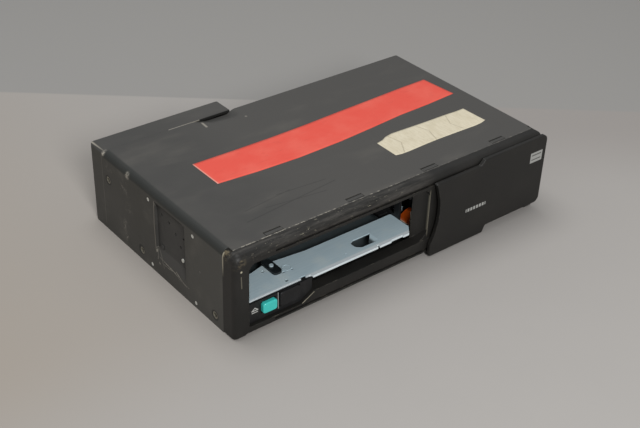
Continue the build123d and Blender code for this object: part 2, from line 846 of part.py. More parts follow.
def make_selector_spring(x):
    """Tension coil from the arm's stud to the hook at the pivot's centre."""
    y1, z1 = selector_stop(0)
    wire = selector_wire
    ring_r = selector_ring_r
    eye_r = stud_r + 0.6
    hook = bar_x(selector_y, selector_z, ring_r, x - wire / 2, x + wire / 2)
    hook -= bar_x(selector_y, selector_z, ring_r - wire, x - 1, x + 1)
    eye = bar_x(y1, z1, eye_r, x - wire / 2, x + wire / 2)
    eye -= bar_x(y1, z1, stud_r - 0.2 + seat_gap, x - 1, x + 1)
    toward = atan2(z1 - selector_z, y1 - selector_y)
    start = ring_r - wire / 2
    length = selector_reach - start - eye_r + wire / 2
    plane = Plane((x, selector_y + start * cos(toward), selector_z + start * sin(toward)),
                  x_dir=(1, 0, 0), z_dir=(0, cos(toward), sin(toward)))
    wound = Pos(0, 0, wire) * coil(1.3, wire, length - 2 * wire, 9)
    core = plane * bar_z(0, 0, wire / 2 - fit_gap, 0, length)
    return group([hook + core + eye, plane * wound])


# Floating deck

def damper_places():
    return [(x, y) for x in (damper_x0, damper_x1) for y in (damper_y0, damper_y1)]


def make_dampers():
    """Soft cups on the floor that the deck's four pins stand in."""
    cups = []
    for x, y in damper_places():
        cup = bar_z(x, y, damper_r, sheet, sheet + damper_height)
        bore = bar_z(x, y, damper_pin_r + damper_gap, damper_floor, sheet + damper_height + 1)
        cups.append(cup - bore)
    return group(cups)


def make_suspension_springs():
    """Coils round the dampers that carry the deck."""
    length = deck_floor - sheet - 4 * fit_gap
    spring = coil(damper_r + 1.2, spring_wire, length, spring_turns)
    return group([Pos(x, y, sheet + 2 * fit_gap) * spring for x, y in damper_places()])


def make_deck_frame():
    """Pressed tray that carries the bay and the player."""
    base_top = deck_base_top
    deck = block(deck_left, deck_right, deck_front, deck_rear, deck_floor, base_top)
    deck += block(deck_left, deck_left + deck_wall, deck_front, deck_rear, base_top, deck_top)
    deck += block(deck_right - deck_wall, deck_right, deck_front, deck_rear, base_top, deck_top)
    deck += block(deck_left, deck_right, deck_rear - deck_sheet, deck_rear, base_top, deck_top)
    deck -= block(divider_right + 0.8, deck_right - 3.4, player_window_y0, deck_rear - 6.5, 0, base_top + 1)
    window = rectangle(bay_left + 24, bay_right - 10, bay_window_y0, bay_window_y1, 6)
    deck -= slab_xy(window, 0, base_top + 1)
    shelf_z = shelf_bottom
    deck += block(lift_motor_x - lift_motor_r, deck_right - deck_wall, deck_front,
                  lift_motor_y + lift_motor_r + 1, shelf_z, shelf_z + deck_wall)
    deck -= bar_z(lift_motor_x, lift_motor_y, 3.2, shelf_z - 1, shelf_z + 2)
    x, y = rear_post_x, rear_post_y
    deck += block(x - 5, deck_right, y - 5, deck_rear, deck_top, deck_top + deck_sheet)
    deck -= bar_z(x, y, post_r + seat_gap, deck_floor - 1, deck_top + 2)
    deck -= bar_z(post_x, post_y, post_r + seat_gap, deck_floor - 1, base_top + 1)
    sx, sy = lift_screw_place()
    deck -= bar_z(sx, sy, lift_screw_r + fit_gap, deck_floor - 1, base_top + 1)
    deck -= block(ejector_x - tongue_r - 0.2, ejector_x + tongue_r + 0.2, ejector_y - tongue_r - 0.4,
                  ejector_y + ejector_travel + tongue_r + 0.4, deck_floor - 1, base_top + 1)
    for x, y in damper_places():
        deck += bar_z(x, y, damper_pin_r, damper_floor + float_travel + 0.5, deck_floor)
    hook = bar_x(selector_y, selector_z, selector_hook_r, selector_inner_x + 0.8, deck_left)
    return deck + hook + right_hand(hook)


def lift_screw_place():
    """The screw stands one gear mesh away from the motor, to its left and front."""
    distance = lift_module * (lift_teeth + lift_pinion_teeth) / 2
    side = (distance ** 2 - (lift_motor_y - lift_screw_y) ** 2) ** 0.5
    return lift_motor_x - side, lift_screw_y


def make_bay_plate():
    """Bright cross plate at the mouth, with a bent front lip and pressed holes."""
    top = bay_floor
    low = top - plate_sheet
    left, nose_right = bay_left + 0.9, bay_right - 5
    nose = plate_nose_x
    plate = slab_xy([(left, plate_front, 0), (nose - 0.8, plate_front, 0), (nose, plate_nose, 0),
                     (nose_right, plate_nose, 0), (bay_right, plate_front + 4.4, 0),
                     (bay_right, plate_back, 1.5), (72, plate_back, 0), (49, plate_rear - 0.4, 1),
                     (40, plate_rear - 0.2, 1), (30, plate_back + 0.2, 0), (left, plate_back - 0.6, 0)],
                    low, top)
    for x0, x1, y in ((left, nose - 0.8, plate_front), (nose, nose_right, plate_nose)):
        plate += block(x0, x1, y, y + plate_sheet, low - 0.6, low)
    for x0, x1, y in ((51.5, 55.5, plate_front + 1.8), (111.8, 113.4, plate_front),
                      (123, 133, plate_nose + 0.9)):
        plate -= block(x0, x1, plate_nose - 1, y, low - 2, top + 1)
    plate -= slab_xy([(99.6, -1.5, 2), (99.6, 3.5, 1), (103, 5.3, 1), (117.2, 5.3, 0.6),
                      (117.2, -4.2, 0.6), (103, -4.2, 2.5)], low - 1, top + 1)
    flap = slab_xy([(0.6, 4.6, 0), (0.6, -4.6, 0), (-8.5, -4.2, 0)], -0.4, 0.4)
    plate += Pos(117.0, 0.6, top - plate_sheet / 2) * Rot(0, -20, 0) * flap
    for x, y, radius in ((37, 11.7, 1.0), (53.2, 3.4, 0.9), (43.4, -4.0, 1.2), (90, -4, 0.6)):
        plate -= bar_z(x, y, radius, low - 1, top + 1)
    plate -= block(45.6, 48.4, 3.2, 4.6, low - 1, top + 1)
    plate += bar_z(51.4, 6.6, 3.1, top, top + 0.15) - bar_z(51.4, 6.6, 2.5, top - 1, top + 1)
    for x0 in plate_leg_places:
        plate += block(bay_left + x0, bay_left + x0 + plate_leg_width, plate_back - plate_sheet,
                       plate_back, deck_base_top, low)
    return plate + bar_z(latch_x, latch_y, latch_pin_r, top, top + 2.4)


def make_latch_lever():
    """Dark lever on the cross plate that holds the magazine."""
    low = bay_floor + 0.2
    half = latch_half_width
    arm = slab_xy([(latch_x - half, latch_front, 2.2), (latch_x + half, latch_front, 2.8),
                   (latch_x + half, latch_end, 2), (latch_x - half, latch_end, 2)], low, low + 1.4)
    return arm - bar_z(latch_x, latch_y, latch_pin_r + fit_gap, low - 1, low + 3)


def make_bay_guide_left():
    """Channel that guides the magazine's left edge."""
    x0 = deck_left + deck_wall
    guide = block(x0, bay_left, -3.2, deck_rear - 2, bay_floor - 1, bay_ceiling + 1)
    guide += block(bay_left, bay_left + guide_lip, plate_rear + slide_gap, deck_rear - 2,
                   bay_floor - 1, bay_floor)
    guide += block(bay_left, bay_left + guide_lip, -3.2, deck_rear - 2, bay_ceiling, bay_ceiling + 1)
    return guide - bar_x(ejector_y, bay_ceiling - 6, 2.0, x0 - 1, bay_left + 1)


def make_bay_divider():
    """Wall between bay and player, with a tall window for the discs."""
    wall = block(bay_right, divider_right, -3.2, deck_rear - deck_sheet, deck_base_top,
                 bay_ceiling + 1)
    wall += block(bay_right, divider_right, -1.0, 10.0, bay_ceiling, deck_top)
    wall -= block(bay_right - 1, divider_right + 1, -4, divider_notch_y, divider_notch_z0, divider_notch_z1)
    wall -= block(bay_right - 1, divider_right + 1, disc_y - disc_r - 0.7, deck_rear,
                  disc_level - 1.5, bay_ceiling - 2)
    wall += block(bay_right - guide_lip, bay_right, plate_rear + slide_gap, deck_rear - 2,
                  bay_floor - 1, bay_floor)
    wall += block(bay_right - guide_lip, bay_right, -3.2, deck_rear - 2, bay_ceiling, bay_ceiling + 1)
    return wall


def make_deck_bridge():
    """Bar across the front of the player that steadies the screw and a post."""
    bar = slab_xy([(bay_right, -1, 0), (deck_right, -1, 0), (deck_right, 15, 0), (200, 15, 2),
                   (192, 10, 3), (bay_right, 10, 0)], deck_top, deck_top + deck_sheet)
    bar -= bar_z(post_x, post_y, post_r + seat_gap, 0, case_height)
    x, y = lift_screw_place()
    return bar - bar_z(x, y, lift_screw_r + fit_gap, 0, case_height)


def make_guide_posts():
    """Two ground posts that the player slides on."""
    posts = [bar_z(x, y, post_r, deck_floor, deck_top + deck_sheet) for x, y in
             ((post_x, post_y), (rear_post_x, rear_post_y))]
    return group(posts)


def make_magazine_ejector():
    """Slide that pushes the magazine out to the front."""
    x, y = ejector_x, ejector_y
    low = deck_base_top + slide_gap
    foot = block(x - 6, x + 6, y - ejector_half, y + ejector_half, low, bay_floor - 1.3)
    neck = block(x - 0.6, x + 6, y - 1, y + 1, bay_floor - 1.3, bay_floor + 2)
    plate = slab_xz(rectangle(bay_left + 2.4, bay_left + 34, bay_floor + 2, bay_ceiling - 8, 3.0),
                    y - 1, y + 1)
    tongue = bar_z(x, y, tongue_r, deck_floor - 1, low)
    return foot + neck + plate + tongue


def make_lift_screw():
    """Screw that raises the player. Its thread is left plain."""
    x, y = lift_screw_place()
    return bar_z(x, y, lift_screw_r, deck_floor, deck_top + deck_sheet)


def make_lift_gear():
    x, y = lift_screw_place()
    toward = degrees(atan2(lift_motor_y - y, lift_motor_x - x))
    wheel = Rot(0, 0, toward) * gear(lift_teeth, lift_module, gear_width)
    wheel = Pos(x, y, gear_bottom) * wheel + bar_z(x, y, 5.0, deck_base_top + 0.1, gear_bottom)
    return wheel - bar_z(x, y, lift_screw_r + seat_gap, 0, case_height)


def make_lift_pinion():
    x, y = lift_screw_place()
    toward = degrees(atan2(y - lift_motor_y, x - lift_motor_x)) + 180 / lift_pinion_teeth
    wheel = Rot(0, 0, toward) * gear(lift_pinion_teeth, lift_module, gear_width)
    wheel = Pos(lift_motor_x, lift_motor_y, gear_bottom) * wheel
    return wheel + bar_z(lift_motor_x, lift_motor_y, motor_shaft_r, gear_bottom, shelf_bottom + 6)


def make_lift_motor():
    low = shelf_bottom + deck_wall
    can = bar_z(lift_motor_x, lift_motor_y, lift_motor_r - 0.2, low, low + lift_motor_height)
    can = fillet(can.edges().group_by(Axis.Z)[-1], 1.2)
    top = low + lift_motor_height
    can += bar_z(lift_motor_x, lift_motor_y, 3.0, top, top + 1.5)
    return can - bar_z(lift_motor_x, lift_motor_y, motor_shaft_r + fit_gap, 0, low + 8)


# Player

def player_outline():
    """The player's plate from above, notched for the flat cable and the lift motor."""
    left = divider_right + player_gap
    right = deck_right - deck_wall - 1.2
    rear = deck_rear - deck_sheet - 1.0
    return [(post_x - 4, 0.5, 1), (lift_motor_x - lift_motor_r - 1.4, 0.5, 1),
            (lift_motor_x - lift_motor_r - 1.4, lift_motor_y + lift_motor_r + 2.2, 1),
            (right, lift_motor_y + lift_motor_r + 2.2, 1), (right, rear, 1), (left, rear, 1),
            (left, post_y + 9, 1), (post_x - 4, post_y + 9, 1)]


def sled_motor_place():
    distance = sled_module * (sled_teeth + sled_pinion_teeth) / 2
    angle = radians(sled_motor_angle)
    return sled_screw_x + distance * cos(angle), sled_screw_z + distance * sin(angle)


def feed_motor_place():
    distance = feed_module * (feed_teeth + feed_drive_teeth) / 2
    angle = radians(feed_motor_angle)
    return roller_x + distance * cos(angle), roller_z + distance * sin(angle)


def make_player_frame():
    """Plate that carries spindle, pickup, clamp and feed roller, and rides on the lift."""
    frame = slab_xy(player_outline(), player_bottom, player_top)
    low, high = player_bottom - 1, player_top + 1
    window_half = rod_spacing / 2 - 1.5
    window_front = lens_y - sled_travel - sled_length / 2 - 0.8
    frame -= slab_xy(rectangle(disc_x - window_half, sled_screw_x + 5, window_front, sled_window_rear, 1.5),
                     low, high)
    frame -= bar_z(disc_x, disc_y, 7.5, low, high)
    mx, mz = sled_motor_place()
    motor_y = sled_wall_y + sled_motor_offset
    frame -= block(sled_screw_x - 5.8, mx + small_motor_r + 1.5, sled_wall_y + ear_sheet, motor_y - 1.2,
                   low, high)
    frame -= block(mx - small_motor_r - 1.0, mx + small_motor_r + 1.5, motor_y,
                   motor_y + small_motor_length + 1, low, high)
    fx, fz = feed_motor_place()
    ear_y = feed_ear_y
    frame -= block(divider_right, fx + small_motor_r + 1.2, ear_y - small_motor_length - 3, ear_y, low, high)
    frame -= block(divider_right, fx + 9.2, ear_y + ear_sheet, ear_y + 6.6, low, high)
    frame -= block(divider_right, roller_x + roller_r + 0.6, roller_front_y + 1.5, ear_y, low, high)
    # Walls for the pickup's screw, rods and motor
    wall_low, wall_top, rod_front = player_top - 10, player_top + 3, 1.8
    screw_x0, screw_x1 = sled_screw_x - 3.2, sled_screw_x + 3.2
    frame += block(screw_x0, mx + small_motor_r, sled_wall_y, sled_wall_y + ear_sheet - 0.1,
                   wall_low, wall_top)
    frame += block(mx - small_motor_r, mx + small_motor_r + 2, motor_y - 1.2, motor_y, wall_low, player_top)
    frame += block(screw_x0, screw_x1, rod_front, rod_front + ear_sheet, sled_screw_z - 2.9, wall_top)
    for x in (disc_x - rod_spacing / 2, disc_x + rod_spacing / 2):
        frame += block(x - 2.2, x + 2.2, rod_front, rod_front + ear_sheet, player_top, wall_top)
        frame += block(x - 2.2, x + 2.2, sled_wall_y, sled_wall_y + ear_sheet - 0.1, player_top, wall_top)
    # Ears for the feed roller and its motor
    roller_x0, roller_x1, roller_top = roller_x - 3.4, roller_x + 3.4, roller_z + 3.0
    frame += block(roller_x0, roller_x1, roller_front_y - 0.5, roller_front_y + 1, player_top, roller_top)
    frame += block(roller_x0, fx + small_motor_r + 2, ear_y, ear_y + ear_sheet, player_top - 11, player_top)
    frame += block(roller_x0, roller_x1, ear_y, ear_y + ear_sheet, player_top, roller_top)
    # Bushes on the posts, the nut on the screw and the ears of the clamp
    frame += bar_z(post_x, post_y, post_r + 2.0, player_bottom, player_top + 6)
    frame += bar_z(rear_post_x, rear_post_y, post_r + 1.4, player_bottom, player_top + 6)
    sx, sy = lift_screw_place()
    frame += bar_z(sx, sy, lift_screw_r + 2.7, player_bottom, player_top + 7)
    for y in clamp_ears:
        frame += block(pivot_x - 1.9, pivot_x + 2.2, y, y + ear_sheet, player_top, pivot_z + 1.6)
    cuts = [bar_z(post_x, post_y, post_r + fit_gap, low, high + 8),
            bar_z(rear_post_x, rear_post_y, post_r + fit_gap, low, high + 8),
            bar_z(sx, sy, lift_screw_r + fit_gap, low, high + 8),
            bar_y(roller_x, roller_z, roller_shaft_r + fit_gap, 0, deck_rear),
            bar_y(pivot_x, pivot_z, clamp_pin_r + seat_gap, 0, deck_rear),
            bar_y(sled_screw_x, sled_screw_z, sled_screw_r + fit_gap, 0, sled_wall_y + 2),
            bar_y(mx, mz, motor_shaft_r + fit_gap, sled_wall_y - 1, motor_y + 1),
            bar_y(fx, fz, motor_shaft_r + fit_gap, ear_y - 1, ear_y + 2)]
    for x in (disc_x - rod_spacing / 2, disc_x + rod_spacing / 2):
        cuts.append(bar_y(x, rod_z, rod_r + seat_gap, 1, sled_wall_y + 2))
    for cut in cuts:
        frame -= cut
    return frame


def make_spindle_motor():
    """Flat motor that turns the disc, fixed under the player's plate."""
    low = player_bottom - spindle_motor_height
    can = bar_z(disc_x, disc_y, spindle_motor_r, low, player_bottom)
    can = fillet(can.edges().group_by(Axis.Z)[0], 1.0)
    can += bar_z(disc_x, disc_y, 5.0, player_bottom, player_top + 1.5)
    return can - bar_z(disc_x, disc_y, motor_shaft_r + fit_gap, low + 2, player_top + 3)


def make_turntable():
    """Table, centring cone and shaft."""
    low = turntable_top - turntable_height
    table = bar_z(disc_x, disc_y, turntable_r, low, turntable_top)
    table += Pos(disc_x, disc_y, turntable_top + 1.0) * Cone(cone_low_r, cone_high_r, 2.0)
    shaft_low = player_bottom - spindle_motor_height + 2.2
    return table + bar_z(disc_x, disc_y, motor_shaft_r, shaft_low, low)


def make_sled_rods():
    rear = sled_window_rear + 2.2
    rods = [bar_y(disc_x + side * rod_spacing / 2, rod_z, rod_r, 1.2, rear) for side in (-1, 1)]
    return group(rods)


def make_pickup_sled():
    """Carriage of the pickup, on two rods, with a nut arm round the screw."""
    y0, y1 = lens_y - sled_length / 2, lens_y + sled_length / 2
    pocket = player_top + lens_pocket
    wing = rod_spacing / 2 + 2.5
    belly = rod_spacing / 2 - 3.0
    sled = block(disc_x - wing, disc_x + wing, y0, y1, player_top + 0.3, player_top + 3.6)
    sled = fillet(sled.edges().filter_by(Axis.Z), 1.5)
    sled += block(disc_x - belly, disc_x + belly, y0 + 1, y1 - 1, player_top - 4.5, player_top + 0.3)
    nut = sled_screw_x
    sled += block(disc_x + wing - 1, nut + 3.5, lens_y - 3, lens_y + 3, sled_screw_z - 2.5, pocket)
    sled -= bar_y(nut, sled_screw_z, sled_screw_r + fit_gap, y0 - 1, y1 + 1)
    for side in (-1, 1):
        sled -= bar_y(disc_x + side * rod_spacing / 2, rod_z, rod_r + fit_gap, y0 - 1, y1 + 1)
    return sled - bar_z(disc_x, lens_y, lens_holder_r + 0.4, pocket, pocket + 3)


def make_pickup_lens():
    """Lens in its holder."""
    low = player_top + lens_pocket + lens_travel + 0.1
    top = low + 1.2
    holder = bar_z(disc_x, lens_y, lens_holder_r, low, top)
    dome = Pos(disc_x, lens_y, top - 2.5) * Sphere(3.1)
    return holder + (dome & bar_z(disc_x, lens_y, lens_holder_r, top - 0.5, top + 2))


def make_sled_screw():
    """Pickup screw with its gear on the rear end."""
    x = sled_screw_x
    screw = bar_y(x, sled_screw_z, sled_screw_r, 1.2, sled_wall_y + 4.9)
    mx, mz = sled_motor_place()
    toward = degrees(atan2(mz - sled_screw_z, mx - x))
    wheel = Rot(0, 0, -toward) * gear(sled_teeth, sled_module, gear_width)
    wheel = Pos(x, sled_wall_y + 2.0, sled_screw_z) * Rot(-90, 0, 0) * wheel
    return screw + wheel


def make_sled_pinion():
    mx, mz = sled_motor_place()
    toward = degrees(atan2(sled_screw_z - mz, sled_screw_x - mx)) + 180 / sled_pinion_teeth
    wheel = Rot(0, 0, -toward) * gear(sled_pinion_teeth, sled_module, gear_width)
    wheel = Pos(mx, sled_wall_y + 2.0, mz) * Rot(-90, 0, 0) * wheel
    return wheel + bar_y(mx, mz, motor_shaft_r, sled_wall_y + 0.4, sled_wall_y + 12)


def small_motor(x, z, y0, y1, shaft_y0, shaft_y1):
    """A small round motor along Y, bored for the shaft of its pinion."""
    can = bar_y(x, z, small_motor_r - 0.1, y0, y1)
    can = fillet(can.edges(), 0.8)
    return can - bar_y(x, z, motor_shaft_r + fit_gap, shaft_y0, shaft_y1)


def make_sled_motor():
    mx, mz = sled_motor_place()
    y0 = sled_wall_y + sled_motor_offset
    return small_motor(mx, mz, y0, y0 + small_motor_length, y0 - 1, y0 + 8)


def make_feed_roller():
    """Rubber roller that draws a disc from the magazine."""
    x = roller_x
    y0, y1 = roller_front_y + 2.0, feed_ear_y - 1.0
    middle = (y0 + y1) / 2
    waist = 0.9
    front = Rot(-90, 0, 0) * Cone(roller_r, roller_r - waist, middle - y0)
    rear = Rot(-90, 0, 0) * Cone(roller_r - waist, roller_r, y1 - middle)
    roller = Pos(x, (y0 + middle) / 2, roller_z) * front + Pos(x, (y1 + middle) / 2, roller_z) * rear
    return roller - bar_y(x, roller_z, roller_shaft_r + seat_gap, 0, deck_rear)


def make_roller_shaft():
    """Shaft of the feed roller with its small gear."""
    x = roller_x
    ear_y = feed_ear_y
    fx, fz = feed_motor_place()
    toward = degrees(atan2(fz - roller_z, fx - x))
    wheel = Rot(0, 0, -toward) * gear(feed_teeth, feed_module, gear_width)
    wheel = Pos(x, ear_y + 2.2, roller_z) * Rot(-90, 0, 0) * wheel
    return bar_y(x, roller_z, roller_shaft_r, roller_front_y - 0.9, ear_y + 5.4) + wheel


def make_feed_pinion():
    fx, fz = feed_motor_place()
    ear_y = feed_ear_y
    toward = degrees(atan2(roller_z - fz, roller_x - fx)) + 180 / feed_drive_teeth
    wheel = Rot(0, 0, -toward) * gear(feed_drive_teeth, feed_module, gear_width)
    wheel = Pos(fx, ear_y + 2.2, fz) * Rot(-90, 0, 0) * wheel
    return wheel + bar_y(fx, fz, motor_shaft_r, ear_y - 8, ear_y + 4.9)


def make_feed_motor():
    fx, fz = feed_motor_place()
    ear_y = feed_ear_y
    return small_motor(fx, fz, ear_y - small_motor_length, ear_y, ear_y - 9, ear_y + 1)


def make_clamp_arm():
    """Arm over the disc that holds the clamp puck."""
    low, high = clamp_low, clamp_low + clamp_sheet
    tail = pivot_x + 2.2
    front, rear = clamp_ears[0] - 1.8, clamp_ears[1] + 1.8
    neck = pivot_x - 7
    arm = slab_xy([(disc_x - 10, disc_y - 9, 6), (disc_x + 20, disc_y - 12, 2), (neck, disc_y - 12, 2),
                   (neck + 2, front, 1), (tail, front, 1), (tail, rear + 7.2, 1),
                   (neck + 0.8, rear + 7.2, 1), (neck, disc_y + 12, 2),
                   (disc_x + 20, disc_y + 12, 2), (disc_x - 10, disc_y + 9, 6)], low, high)
    for y in (front, rear):
        arm += block(pivot_x - 1.9, pivot_x + 2.0, y, y + ear_sheet, pivot_z - 1.8, low)
    arm -= bar_y(pivot_x, pivot_z, clamp_pin_r + fit_gap, 0, deck_rear)
    return arm - bar_z(disc_x, disc_y, puck_neck_r + 0.4, low - 1, high + 1)


def make_clamp_pins():
    front, rear = clamp_ears
    return group([bar_y(pivot_x, pivot_z, clamp_pin_r, front - 2.2, front + 1.9),
                  bar_y(pivot_x, pivot_z, clamp_pin_r, rear - 0.4, rear + 3.7)])


def make_clamp_puck():
    """Puck that presses the disc on the table and turns with it."""
    low = turntable_top + 0.9
    neck_low = clamp_low - slide_gap
    neck_top = neck_low + clamp_sheet + 2 * slide_gap
    puck = bar_z(disc_x, disc_y, puck_r, low + 1.5, neck_low)
    puck += bar_z(disc_x, disc_y, puck_r - 3, low, low + 1.5)
    puck -= Pos(disc_x, disc_y, low + 1.1) * Cone(cone_low_r + 0.7, cone_high_r + 0.8, 2.2)
    puck += bar_z(disc_x, disc_y, puck_neck_r, neck_low, neck_top)
    return puck + bar_z(disc_x, disc_y, puck_neck_r + 2, neck_top, neck_top + 0.8)


def make_clamp_spring():
    """Tension coil that pulls the clamp arm down."""
    spring = coil(1.3, 0.6, clamp_low - player_top - 4 * fit_gap, 7)
    return Pos(pivot_x - 3.5, clamp_ears[1] + 6.4, player_top + 2 * fit_gap) * spring


# Electronics

def make_main_board():
    """Circuit board on the floor under the bay."""
    low = board_bottom
    board = slab_xy(rectangle(board_x0, board_x1, board_y0, board_y1, 2), low, low + board_thickness)
    for x, y in board_post_places:
        board -= bar_z(x, y, board_post_r + fit_gap, low - 1, low + 3)
    return board


def make_board_posts():
    """Standoffs with their screws."""
    posts = []
    for x, y in board_post_places:
        post = bar_z(x, y, board_post_r + 1.3, sheet, board_bottom)
        post += bar_z(x, y, board_post_r, board_bottom, board_top)
        posts.append(post + bar_z(x, y, board_post_r + 1.1, board_top, board_top + 1.4))
    return group(posts)


def make_board_chips():
    chips = []
    for x, y, width, depth, height in chip_places:
        chips.append(block(x, x + width, y, y + depth, board_top, board_top + height))
    return group(chips)


def make_board_capacitors():
    cans = []
    for x, y, radius in can_places:
        can = bar_z(x, y, radius, board_top, board_top + can_height)
        cans.append(fillet(can.edges().group_by(Axis.Z)[-1], 0.5))
    return group(cans)


def make_flex_cable():
    """Flat cable from the deck to the player, in one upright loop."""
    y0, y1 = flex_front, flex_front + flex_width
    x0, x1 = flex_x, flex_x + flex_loop
    low = deck_base_top + connector_height
    bend = flex_loop / 2 - 0.05
    outer = slab_xz([(x0, low, 0), (x1, low, 0), (x1, flex_top, bend), (x0, flex_top, bend)], y0, y1)
    x0, x1, top = x0 + flex_sheet, x1 - flex_sheet, flex_top - flex_sheet
    bend -= flex_sheet
    inner = slab_xz([(x0, low - 1, 0), (x1, low - 1, 0), (x1, top, bend), (x0, top, bend)], y0 - 1, y1 + 1)
    corner = slab_yz([(y1 - flex_fold, flex_top + 1, 0), (y1 + 1, flex_top + 1, 0),
                      (y1 + 1, flex_top - 1.6 * flex_fold, 0)], x0 - 2, x1 + 2)
    return outer - inner - corner


def make_flex_connector():
    """White connector on the deck, with an upright ear in front of the cable."""
    top = deck_base_top + connector_height
    right = flex_x + flex_loop
    body = block(flex_x - 0.8, right + 1.2, flex_front - 0.8, flex_front + flex_width + 1.0,
                 deck_base_top, top)
    ear = block(flex_x + 0.6, flex_x + 2.6, flex_front - 0.8, flex_front - 0.2, top, flex_top - 0.8)
    return body + ear


def main():
    os.makedirs("parts", exist_ok=True)
    nodes = {
        "wrap_cover": make_wrap_cover(),
        "bottom_tray": make_bottom_tray(),
        "rear_panel": make_rear_panel(),
        "rear_housing": make_rear_housing(),
        "data_socket": make_data_socket(),
        "power_socket": make_power_socket(),
        "mount_bushes": make_mount_bushes(),
        "cover_screws": make_cover_screws(),
        "front_bezel": make_front_bezel(),
        "door_leaf": make_door_leaf(),
        "door_inner_leaf": make_door_inner_leaf(),
        "button_frame": make_button_frame(),
        "key_board": make_key_board(),
        "key_switches": make_key_switches(),
        "eject_button": make_eject_button(),
        "reset_button": make_reset_button(),
        "red_label": make_red_label(),
        "paper_label": make_paper_label(),
        "selector_arm_left": make_selector_arm(),
        "selector_arm_right": right_hand(make_selector_arm()),
        "selector_spring_left": make_selector_spring(selector_spring_x()),
        "selector_spring_right": make_selector_spring(case_width - selector_spring_x()),
        "selector_pivots": make_selector_pivots(),
        "dampers": make_dampers(),
        "suspension_springs": make_suspension_springs(),
        "deck_frame": make_deck_frame(),
        "bay_plate": make_bay_plate(),
        "latch_lever": make_latch_lever(),
        "bay_guide_left": make_bay_guide_left(),
        "bay_divider": make_bay_divider(),
        "deck_bridge": make_deck_bridge(),
        "guide_posts": make_guide_posts(),
        "magazine_ejector": make_magazine_ejector(),
        "lift_screw": make_lift_screw(),
        "lift_gear": make_lift_gear(),
        "lift_pinion": make_lift_pinion(),
        "lift_motor": make_lift_motor(),
        "player_frame": make_player_frame(),
        "spindle_motor": make_spindle_motor(),
        "turntable": make_turntable(),
        "sled_rods": make_sled_rods(),
        "pickup_sled": make_pickup_sled(),
        "pickup_lens": make_pickup_lens(),
        "sled_screw": make_sled_screw(),
        "sled_pinion": make_sled_pinion(),
        "sled_motor": make_sled_motor(),
        "feed_roller": make_feed_roller(),
        "roller_shaft": make_roller_shaft(),
        "feed_pinion": make_feed_pinion(),
        "feed_motor": make_feed_motor(),
        "clamp_arm": make_clamp_arm(),
        "clamp_pins": make_clamp_pins(),
        "clamp_puck": make_clamp_puck(),
        "clamp_spring": make_clamp_spring(),
        "main_board": make_main_board(),
        "board_posts": make_board_posts(),
        "board_chips": make_board_chips(),
        "board_capacitors": make_board_capacitors(),
        "flex_cable": make_flex_cable(),
        "flex_connector": make_flex_connector(),
    }
    for name, shape in nodes.items():
        save(name, shape)
    print(len(nodes), "nodes written")


main()
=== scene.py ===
import bpy
import bmesh
import json
import math
from mathutils import Matrix, Vector, noise


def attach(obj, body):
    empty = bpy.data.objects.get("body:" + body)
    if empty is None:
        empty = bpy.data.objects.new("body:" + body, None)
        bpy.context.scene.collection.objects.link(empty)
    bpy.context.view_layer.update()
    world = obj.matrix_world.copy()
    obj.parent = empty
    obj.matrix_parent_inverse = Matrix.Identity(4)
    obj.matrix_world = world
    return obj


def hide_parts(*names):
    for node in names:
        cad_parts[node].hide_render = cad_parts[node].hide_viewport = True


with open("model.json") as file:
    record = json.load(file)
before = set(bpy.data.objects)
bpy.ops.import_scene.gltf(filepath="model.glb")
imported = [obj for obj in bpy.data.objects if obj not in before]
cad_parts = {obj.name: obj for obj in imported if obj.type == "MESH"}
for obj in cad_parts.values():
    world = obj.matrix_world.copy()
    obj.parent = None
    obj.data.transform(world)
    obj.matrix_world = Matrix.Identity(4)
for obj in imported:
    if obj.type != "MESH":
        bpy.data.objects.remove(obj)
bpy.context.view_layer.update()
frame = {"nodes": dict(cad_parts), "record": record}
print("frame loaded")

# Case coordinates are millimetres from the front left bottom corner of the metal case
caseCorner = (-128.0, -69.0, 0.0)


def place(x, y, z):
    return Vector((x + caseCorner[0], y + caseCorner[1], z + caseCorner[2])) / 1000


def paint(red, green, blue):
    # a colour picked off the photograph, 0 to 255
    def linear(value):
        value /= 255
        return value / 12.92 if value <= 0.04045 else ((value + 0.055) / 1.055) ** 2.4
    return (linear(red), linear(green), linear(blue), 1.0)


class Wire:
    def __init__(self, tree, socket):
        self.tree, self.socket = tree, socket

    def maths(self, operation, *values, clamp=False):
        node = self.tree.nodes.new("ShaderNodeMath")
        node.operation, node.use_clamp = operation, clamp
        for slot, value in zip(node.inputs, values):
            plug(self.tree, slot, value)
        return Wire(self.tree, node.outputs[0])

    def __add__(self, other): return self.maths("ADD", self, other)
    def __radd__(self, other): return self.maths("ADD", other, self)
    def __sub__(self, other): return self.maths("SUBTRACT", self, other)
    def __rsub__(self, other): return self.maths("SUBTRACT", other, self)
    def __mul__(self, other): return self.maths("MULTIPLY", self, other)
    def __rmul__(self, other): return self.maths("MULTIPLY", other, self)
    def __truediv__(self, other): return self.maths("DIVIDE", self, other)
    def __rtruediv__(self, other): return self.maths("DIVIDE", other, self)
    def __pow__(self, other): return self.maths("POWER", self, other)
    def __neg__(self): return self.maths("MULTIPLY", self, -1.0)


def plug(tree, slot, value):
    if isinstance(value, Wire):
        tree.links.new(value.socket, slot)
    else:
        slot.default_value = value


